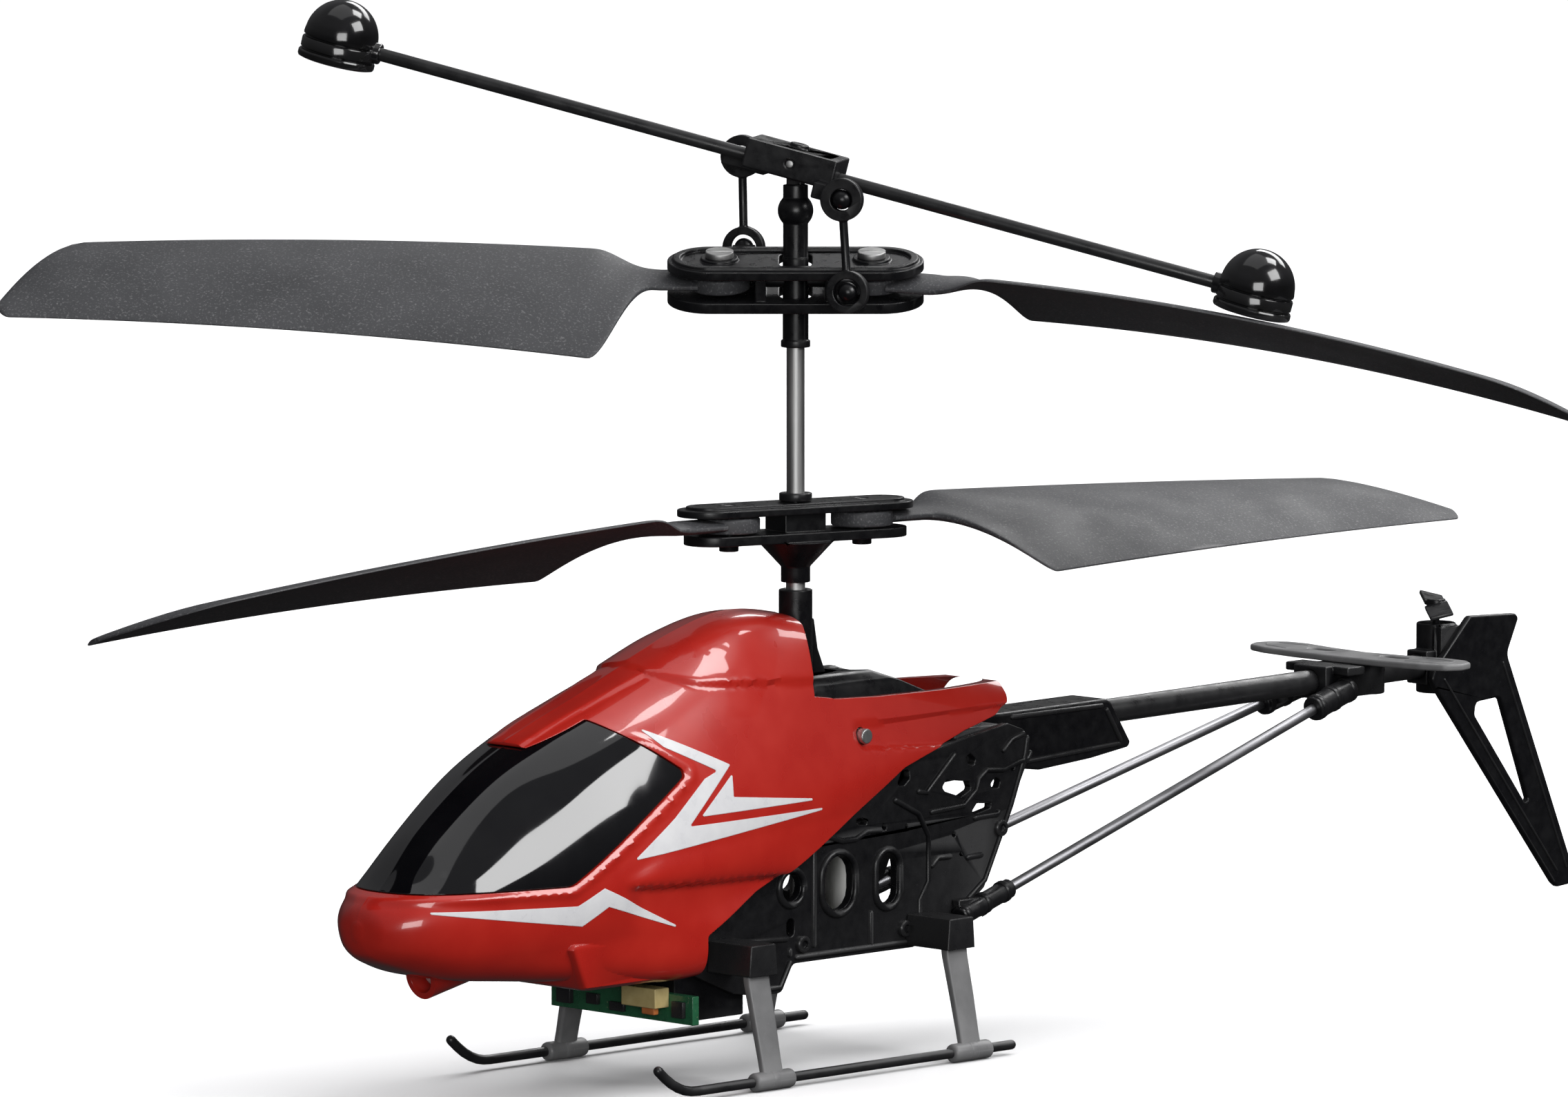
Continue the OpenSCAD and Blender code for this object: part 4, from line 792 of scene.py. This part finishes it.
for side, node in ((1, "frame_left"), (-1, "frame_right")):
    body = frame_side() if side > 0 else frame_side().flip_x()
    piece(node + "_panel", body, "chassis", BLACK, node, bevel=0.14)
    ribs = frame_relief() if side > 0 else frame_relief().flip_x()
    piece(node + "_ribs", ribs, "chassis", BLACK, node)

for node in ("motor_plate", "gearbox_plate", "belly_tray", "leg_mounts", "rod_clips", "stabiliser_clamp"):
    refined(node, BLACK, bevel=0.18)
refined("battery", FOIL, bevel=0.6, segments=4)
refined("circuit_board", BOARD, bevel=0.08)
refined("switch_housing", CREAM, bevel=0.12)
refined("switch_slider", ORANGE, bevel=0.14)
refined("lower_bush", BRASS, bevel=0.1)
for node in ("front_pinion", "rear_pinion"):
    refined(node, BRASS, bevel=0.03)
for node in ("inner_gear", "outer_gear"):
    refined(node, GEAR, bevel=0.05)
refined("canopy_screws", STEEL, bevel=0.15)
refined("mast_tower", BLACK, bevel=0.16)

# parts soldered to the board's front face
chips = [block((-9.9, -27.8, 7.9), (-7.7, -27.15, 9.9)), block((-5.2, -27.7, 8.2), (-3.4, -27.15, 9.4)),
         block((-1.6, -27.6, 7.8), (0.7, -27.15, 8.8)), block((8.4, -27.7, 8.0), (10.2, -27.15, 9.8))]
piece("board_parts", total(chips), "chassis", BLACK, "circuit_board", slot_name="black_plastic", bevel=0.08)

refined("deck_cover", BLACK, bevel=0.5, segments=4)
for node, y in (("front_motor", -8.1), ("rear_motor", 8.1)):
    refined(node, CAN, bevel=0.25, segments=3)

# ------------------------------------------------------------------ landing gear

SKID_X, SKID_Z = 16.56, 1.1


def leg(y):
    """Left leg at y, splayed out over the skid."""
    rings = []
    centre = [(14.0, 15.0), (14.0, 13.4), (14.02, 12.6), (14.16, 11.6), (15.2, 7.4), (16.1, 3.4), (16.5, 1.7)]
    width = [1.65, 1.65, 1.65, 1.65, 1.6, 1.5, 1.5]
    thick = [0.6, 0.6, 0.6, 0.6, 0.56, 0.52, 0.52]
    for (x, z), w, t in zip(centre, width, thick):
        outline = round_corners([(-t, -w), (t, -w), (t, w), (-t, w)], 0.35, 5)
        rings.append([(x + a, y + b, z - a * 0.2) for a, b in outline])
    return loft(rings)


def collar(y):
    """Sleeve that grips the skid, flat where it stands."""
    return rounded_rod(6, 1.06, 0.4, 48).turn("X", -90).move(SKID_X, y - 3, 1.08)


for node, y in (("front_legs", -20.1), ("rear_legs", 11.1)):
    piece(node + "_struts", leg(y).both_sides(), "chassis", GREY, node, angle=40)
    piece(node + "_collars", collar(y).both_sides(), "chassis", GREY, node, angle=40)
    band = rounded_rod(1.1, 1.085, 0.1, 48).turn("X", -90).move(SKID_X, y - 0.55, 1.085)
    piece(node + "_bands", band.both_sides(), "chassis", GREY, node, angle=40)

bend = [(SKID_X, 18.3 - k * 0.5, SKID_Z) for k in range(100)]
bend += [(SKID_X, y, z) for y, z in ((-31.6, SKID_Z), (-32.6, 1.16), (-33.6, 1.36), (-34.6, 1.74),
                                     (-35.6, 2.28), (-36.6, 3.02), (-37.3, 3.62), (-38.0, 4.28))]
for side, node in ((1, "skid_left"), (-1, "skid_right")):
    run = tube(bend, 0.55, 28)
    piece(node + "_tube", run if side > 0 else run.flip_x(), "chassis", SKID, node, angle=40)

# ------------------------------------------------------------------ tail

socket_edge = [(18, 31), (18, 37.2), (30, 36.5), (47.6, 36.7), (48.4, 36.2), (51.6, 31.4), (51.2, 30.8),
               (45, 30), (36.6, 29.4), (32, 30)]
socket = side_plate(round_corners(socket_edge, [0.3, 0.6, 2, 0.6, 0.6, 0.8, 0.5, 2, 2, 1], 5), [], -3, 3)
obj = mesh_object("boom_socket_block", socket)
cut(obj, straight((0, 26, 34.37), (0, 60, 34.94), 1.43, 40, 0.01))
cut(obj, block((-2, 17, 32), (2, 23, 36)))
finish_piece(obj, "chassis", BLACK, ("boom_socket",), bevel=0.45, segments=4)
piece("boom_socket_yoke", block((-7.4, 18, 31.6), (7.4, 26, 36)), "chassis", BLACK, "boom_socket",
      bevel=0.5, segments=3)
piece("boom_socket_ribs", total(tube([(3.0 * s, y0, z0), (3.0 * s, y1, z1)], 0.3, 12) for s in (-1, 1)
      for y0, z0, y1, z1 in ((31.5, 35.9, 46.8, 36.0), (33.5, 30.6, 49.6, 31.4), (49.8, 31.6, 47.2, 35.7))),
      "chassis", BLACK, "boom_socket")
piece("boom_tube", straight((0, 26, 34.37), (0, 104.9, 35.688), 1.42, 48, 0.15), "chassis", SKID, "tail_boom")
for side, node in ((1, "support_rod_left"), (-1, "support_rod_right")):
    bar = straight((9.2 * side, 20, 15.95), (4 * side, 83, 33.3), 0.625, 28, 0.12)
    piece(node + "_bar", bar, "chassis", ALU, node)
rod_way = Vector((-5.2, 63, 17.35)).normalized()
grips = []
CLIPS = (((9.2, 20, 15.95), (-3.2, 0.4, 4.0), 1.28), ((4, 83, 33.3), (-1.6, 1.2, 4.2), 1.55))
for start, stops, radius in CLIPS:
    for s in stops:
        a = Vector(start) + rod_way * s
        grips.append(straight(a, a + rod_way * 0.8, radius, 32, 0.15))
piece("rod_clip_bands", total(grips).both_sides(), "chassis", BLACK, "rod_clips")

half = [(7, 89.55), (12.6, 90.3), (15.6, 91.4), (16.6, 93.4), (16.0, 95.5), (14.2, 96.75), (11, 96.9),
        (6, 95.8)]
wing = [(0, 89.4)] + half + [(0, 95)] + [(-x, y) for x, y in half[::-1]]
wing = round_corners(wing, [2, 3, 3, 1.4, 1.6, 1.4, 1.2, 3, 3, 1.5, 3, 3, 1.2, 1.4, 1.6, 1.4, 3, 3], 6)
openings = [slot(5.8 * s, 93.35, 4.0, 1.5) for s in (-1, 1)]
piece("stabiliser_wing", plate(wing, openings, 37.32, 38.1), "chassis", GREY, "stabiliser", bevel=0.26,
      segments=4)
border = [(9.4, 91.2), (13.4, 92.0), (14.6, 93.4), (14.0, 94.9), (9.4, 95.0)]
trim = [tube([(s * x, y, 38.08) for x, y in border], 0.1, 8) for s in (-1, 1)]
piece("stabiliser_trim", total(trim), "chassis", GREY, "stabiliser")

fin_edge = [(103.2, 35.6), (109.4, 41.5), (117.6, 41.2), (118.1, 40.6), (116.1, 36.5), (128.7, 8.6),
            (128.1, 7.8), (125.4, 7.6), (124.6, 8.2), (103.4, 33.4), (102.8, 34.4)]
fin_hole = [(110.6, 31.1), (110.4, 29.6), (119.6, 18.2), (120, 18.8), (114.9, 31.4)]
fin = side_plate(round_corners(fin_edge, [1.6, 0.8, 0.7, 0.5, 1.6, 0.7, 0.5, 0.7, 0.6, 1.6, 0.8], 6),
                 [round_corners(fin_hole, [0.8, 0.6, 0.3, 0.3, 0.9], 5)], 2.42, 3.38)
piece("fin_blade", fin, "chassis", BLACK, "tail_fin", bevel=0.3, segments=4)
fin_ribs = [tube([(3.38, y, z) for y, z in ends], 0.16, 10)
            for ends in (((104.8, 34.4), (125.2, 9.6)), ((115.2, 35.6), (126.9, 9.8)))]
piece("fin_ribs", total(fin_ribs), "chassis", BLACK, "tail_fin")
refined("tail_motor_tube", BLACK, bevel=0.2, segments=3)
refined("tail_motor", CAN, bevel=0.15)
refined("tail_rotor", BLACK, bevel=0.14, segments=3)
piece("tail_wire_lead", tube([(-1.9, 96 + 0.75 * k, 35.9 + 0.1 * math.sin(k)) for k in range(11)], 0.22, 12),
      "chassis", WIRE, "tail_wire")

# ------------------------------------------------------------------ rotors

ROTOR_R, HINGE_R = 88.5, 8.5
BLADE_LEN = ROTOR_R - HINGE_R
UPPER_AZ, LOWER_AZ = 45.2, 74.0
UPPER_Z, LOWER_Z, FLYBAR_Z = 87.5, 60.45, 100.7
FLYBAR_LEAD, FLYBAR_REST = 12.5, 14.1
FLYBAR_R, ROD_START, ROD_DROP = 54, 4.15, 0.6
# the ball studs that tie the flybar to the grip, seen from the mast
BALL_X, BALL_Y = 5.8, 8.5
lead_angle = math.radians(FLYBAR_LEAD)
FLY_BALL_X = BALL_X * math.cos(lead_angle) + BALL_Y * math.sin(lead_angle)
GRIP_REST = math.degrees(math.asin(FLY_BALL_X * math.sin(math.radians(FLYBAR_REST)) / BALL_Y))


def rotation(axis, degrees):
    return Matrix.Rotation(math.radians(degrees), 4, axis)


UPPER = Matrix.Translation((0, 0, UPPER_Z)) @ rotation("Z", UPPER_AZ) @ rotation("X", GRIP_REST)
LOWER = Matrix.Translation((0, 0, LOWER_Z)) @ rotation("Z", LOWER_AZ)
FLY = Matrix.Translation((0, 0, FLYBAR_Z)) @ rotation("Z", UPPER_AZ - FLYBAR_LEAD) @ rotation("Y",
                         FLYBAR_REST)


def blade_rings(root, loss, droop, bend, columns=26):
    """Skin of one blade along +X with its leading edge towards +Y.

    root is its pitch there and loss the pitch lost towards the tip, both in degrees; droop is its
    slope downwards, bend the further drop in mm that a bent blade has at its tip.
    """
    rings = []
    inner = np.concatenate([np.linspace(2.4, 16, 40), np.linspace(16.8, BLADE_LEN - 6, 44)])
    outer = BLADE_LEN - 6 * (1 - np.sin(np.linspace(0, math.pi / 2, 16)))[1:]
    for x in np.concatenate([inner, outer]):
        tip = np.clip((x - BLADE_LEN + 9) / 9, 0, 1)
        front = 3.2 + 2.8 * smoothstep((x - 7.6) / 6) - tip**2 * 12.5
        full = 6 - (24 - 8 * np.clip((x - 14.5) / (BLADE_LEN - 14.5), 0, 1))
        end = np.clip((x - BLADE_LEN + 1.2) / 1.2, 0, 1)
        back = -3.2 + (full + 3.2) * smoothstep((x - 7.5) / 7) + end**2 * 1.2
        twist = root * smoothstep((x - 6.6) / 8) - loss * np.clip((x - 15) / (BLADE_LEN - 15), 0, 1)
        thick = 1.5 + (0.9 - 1.5) * smoothstep((x - 6.6) / 8) - 0.3 * np.clip((x - 20) / 60, 0, 1)
        camber = 0.045 * (front - back) * smoothstep((x - 7) / 8)
        out = max(x - 6.6, 0)
        drop = math.tan(math.radians(droop)) * out + bend * (out / (BLADE_LEN - 6.6)) ** 2
        s = (1 - np.cos(np.linspace(0, math.pi, columns))) / 2
        arch = camber * (1 - (2 * s - 1) ** 2)
        half_t = thick * (0.1 + 0.4 * np.sin(math.pi * s) ** 0.6)
        y = front + (back - front) * s
        ys = np.concatenate([y, y[::-1]])
        zs = np.concatenate([arch + half_t, (arch - half_t)[::-1]])
        c, sn = math.cos(math.radians(twist)), math.sin(math.radians(twist))
        rings.append(np.stack([np.full(len(ys), x), ys * c - zs * sn, ys * sn + zs * c - drop], 1))
    return loft(rings)


def blade(node, body, place, form, mirrored):
    """Blade with its hinge eye, put on its grip; mirrored for the rotor that turns the other way."""
    obj = mesh_object(node + "_skin", blade_rings(*form))
    eye = rounded_rod(1.7, 3.5, 0.25, 64).move(0, 0, -0.85)
    cut(obj, eye, "UNION")
    cut(obj, lathe([(0.8, -3), (0.8, 3)], 32))
    if mirrored:
        place = place @ Matrix.Scale(-1, 4, (0, 1, 0))
    m = np.array(place)
    m[:3, 3] *= MM
    m[2, 3] -= BELLY * MM
    base = Matrix.Translation((0, 0, BELLY * MM))
    obj.data.transform(Matrix(m.tolist()) @ base)
    if mirrored:
        obj.data.flip_normals()
    finish_piece(obj, body, BLADE, (node,), angle=42)


hinge = Matrix.Translation((HINGE_R, 0, 0))
half_turn = rotation("Z", 180)
lower_fold, upper_fold = rotation("Z", 8), rotation("Z", -15)
blade("lower_blade_a", "lower_blade_a", LOWER @ hinge @ lower_fold, (17.5, 4.8, 0.7, 1.1), False)
blade("lower_blade_b", "lower_blade_b", LOWER @ half_turn @ hinge @ lower_fold, (20.9, 4.8, 2.8, 2.8), False)
blade("upper_blade_a", "upper_blade_a", UPPER @ hinge @ upper_fold, (27.2, 0.5, 0, 8.8), True)
blade("upper_blade_b", "upper_blade_b", UPPER @ half_turn @ hinge, (13.2, 0.5, -4, 4.2), True)

for node in ("lower_hub_base", "lower_hub_cap", "mast_head"):
    refined(node, BLACK, bevel=0.12, segments=3)
refined("shaft_collar", BLACK, bevel=0.12)
for node in ("upper_grip_base", "upper_grip_cap"):
    refined(node, BLACK, bevel=0.14, segments=3)
refined("flybar_block", BLACK, bevel=0.22, segments=3)
for node in ("link_near", "link_far"):
    refined(node, BLACK, bevel=0.12, segments=3)
for node in ("lower_screws", "upper_screws", "flybar_pin"):
    refined(node, STEEL, bevel=0.1)
for node in ("inner_shaft", "outer_shaft"):
    refined(node, STEEL, bevel=0.06)


def weight():
    """Domed flybar weight with a seam round it."""
    r = 4.4
    dome = [((r - 0.2) * math.cos(math.radians(a)), 0.7 + (r - 0.2) * math.sin(math.radians(a)) * 1.02)
            for a in range(6, 91, 6)]
    profile = [(0, -2.3), (r - 0.45, -2.3), (r - 0.1, -2.2), (r, -2.0), (r, -1.55), (r - 0.1, -1.38),
               (r - 0.3, -1.3), (r - 0.3, -1.18), (r - 0.12, -1.08), (r - 0.1, -0.1), (r - 0.18, 0.06),
               (r - 0.38, 0.16), (r - 0.38, 0.28), (r - 0.18, 0.38), (r - 0.14, 0.6)]
    return lathe(profile + dome, 72)


weights = []
for side in (-1, 1):
    sleeve = rounded_rod(4.9, 1.2, 0.2, 36).turn("Y", -90 * side).move(FLYBAR_R * side, 0, -ROD_DROP)
    weights += [weight().move(FLYBAR_R * side, 0, -ROD_DROP), sleeve]
piece("flybar_weight_pair", total(weights).at(FLY), "flybar", GLOSSY_BLACK, "flybar_weights", angle=30)
bar = rounded_rod(FLYBAR_R - ROD_START, 0.75, 0.1, 28)
rods = total(bar.turn("Y", 90 * s).move(ROD_START * s, 0, -ROD_DROP) for s in (-1, 1))
piece("flybar_rod_pair", rods.at(FLY), "flybar", SKID, "flybar_rod")

# ------------------------------------------------------------------ floor, light and camera

def flat_light(name, at, towards, size, power, color=(1, 1, 1)):
    """Softbox of a size in metres and a power in watts."""
    data = bpy.data.lights.new(name, "AREA")
    data.shape = "RECTANGLE"
    data.size, data.size_y = size
    data.energy = power
    data.color = color
    lamp = bpy.data.objects.new(name, data)
    lamp.location = at
    lamp.rotation_euler = (Vector(towards) - Vector(at)).to_track_quat("-Z", "Y").to_euler()
    bpy.context.scene.collection.objects.link(lamp)
    return lamp


GROUND = -BELLY * MM - 0.00002  # a hair under the skids
REACH = 6
corners = [(-REACH, -REACH), (REACH, -REACH), (REACH, REACH), (-REACH, REACH)]
mesh = bpy.data.meshes.new("floor")
mesh.from_pydata([(x, y, GROUND) for x, y in corners], [], [(0, 1, 2, 3)])
floor = bpy.data.objects.new("floor", mesh)
bpy.context.scene.collection.objects.link(floor)
PAPER = surface("pale_paper", (0.86, 0.86, 0.865), (0.85, 0.85, 0.855), patch=3, rough=0.55,
                rough_spread=0.03, grain=400, bump=0.02, edge=0)
floor.data.materials.append(PAPER)
floor.visible_glossy = False
floor.visible_diffuse = False

AIM = (0, 0, 0.045)
flat_light("key", (0.26, 0.58, 1.02), AIM, (0.4, 0.4), 4)
flat_light("side_box", (1.02, 0.3, 0.74), AIM, (0.72, 0.56), 9)
flat_light("rear_strip", (-0.45, 1.6, 1.15), AIM, (1.6, 0.5), 12)
flat_light("front_fill", (1.3, -1.15, 0.28), AIM, (0.9, 0.6), 10)
flat_light("overhead", (0, 0, 1.6), AIM, (1.4, 1.4), 3)

# an even wash that lights only the floor
wash = bpy.data.objects.new("floor_wash", bpy.data.lights.new("floor_wash", "SUN"))
wash.data.energy = 2.9
wash.data.angle = math.radians(90)
bpy.context.scene.collection.objects.link(wash)
floor_only = bpy.data.collections.new("floor_only")
floor_only.objects.link(floor)
wash.light_linking.receiver_collection = floor_only

world = bpy.data.worlds.new("studio")
world.use_nodes = True
bpy.context.scene.world = world
tree = world.node_tree
background = next(n for n in tree.nodes if n.type == "BACKGROUND")
place = tree.nodes.new("ShaderNodeTexCoord")
split = tree.nodes.new("ShaderNodeSeparateXYZ")
fade = tree.nodes.new("ShaderNodeValToRGB")
# reflections see a darker room than the light that fills the shadows
path = tree.nodes.new("ShaderNodeLightPath")
dim = tree.nodes.new("ShaderNodeMapRange")
tree.links.new(place.outputs["Generated"], split.inputs[0])
tree.links.new(split.outputs["Z"], fade.inputs["Fac"])
tree.links.new(path.outputs["Is Glossy Ray"], dim.inputs["Value"])
dim.inputs["To Min"].default_value = 1.0
dim.inputs["To Max"].default_value = 0.5
fade.color_ramp.elements[0].position = 0.0
fade.color_ramp.elements[0].color = (0.05, 0.05, 0.052, 1)
fade.color_ramp.elements[1].position = 0.6
fade.color_ramp.elements[1].color = (0.3, 0.3, 0.31, 1)
tree.links.new(fade.outputs["Color"], background.inputs["Color"])
tree.links.new(dim.outputs[0], background.inputs["Strength"])

camera = bpy.data.objects.new("camera", bpy.data.cameras.new("camera"))
bpy.context.scene.collection.objects.link(camera)
camera.data.sensor_width = 36
camera.data.lens = 267.8
camera.data.shift_x = -0.0073
camera.data.shift_y = 0.0055
camera.data.clip_start = 0.05
CAMERA_HEIGHT, CAMERA_DIP, CAMERA_TURN = 193, 6, 45.2  # mm above the ground, then degrees
camera.location = (0.9224, -0.9160, (CAMERA_HEIGHT - BELLY) * MM)
camera.rotation_euler = (math.radians(90 - CAMERA_DIP), 0, math.radians(CAMERA_TURN))
bpy.context.scene.camera = camera
bpy.context.scene.view_settings.view_transform = "Standard"
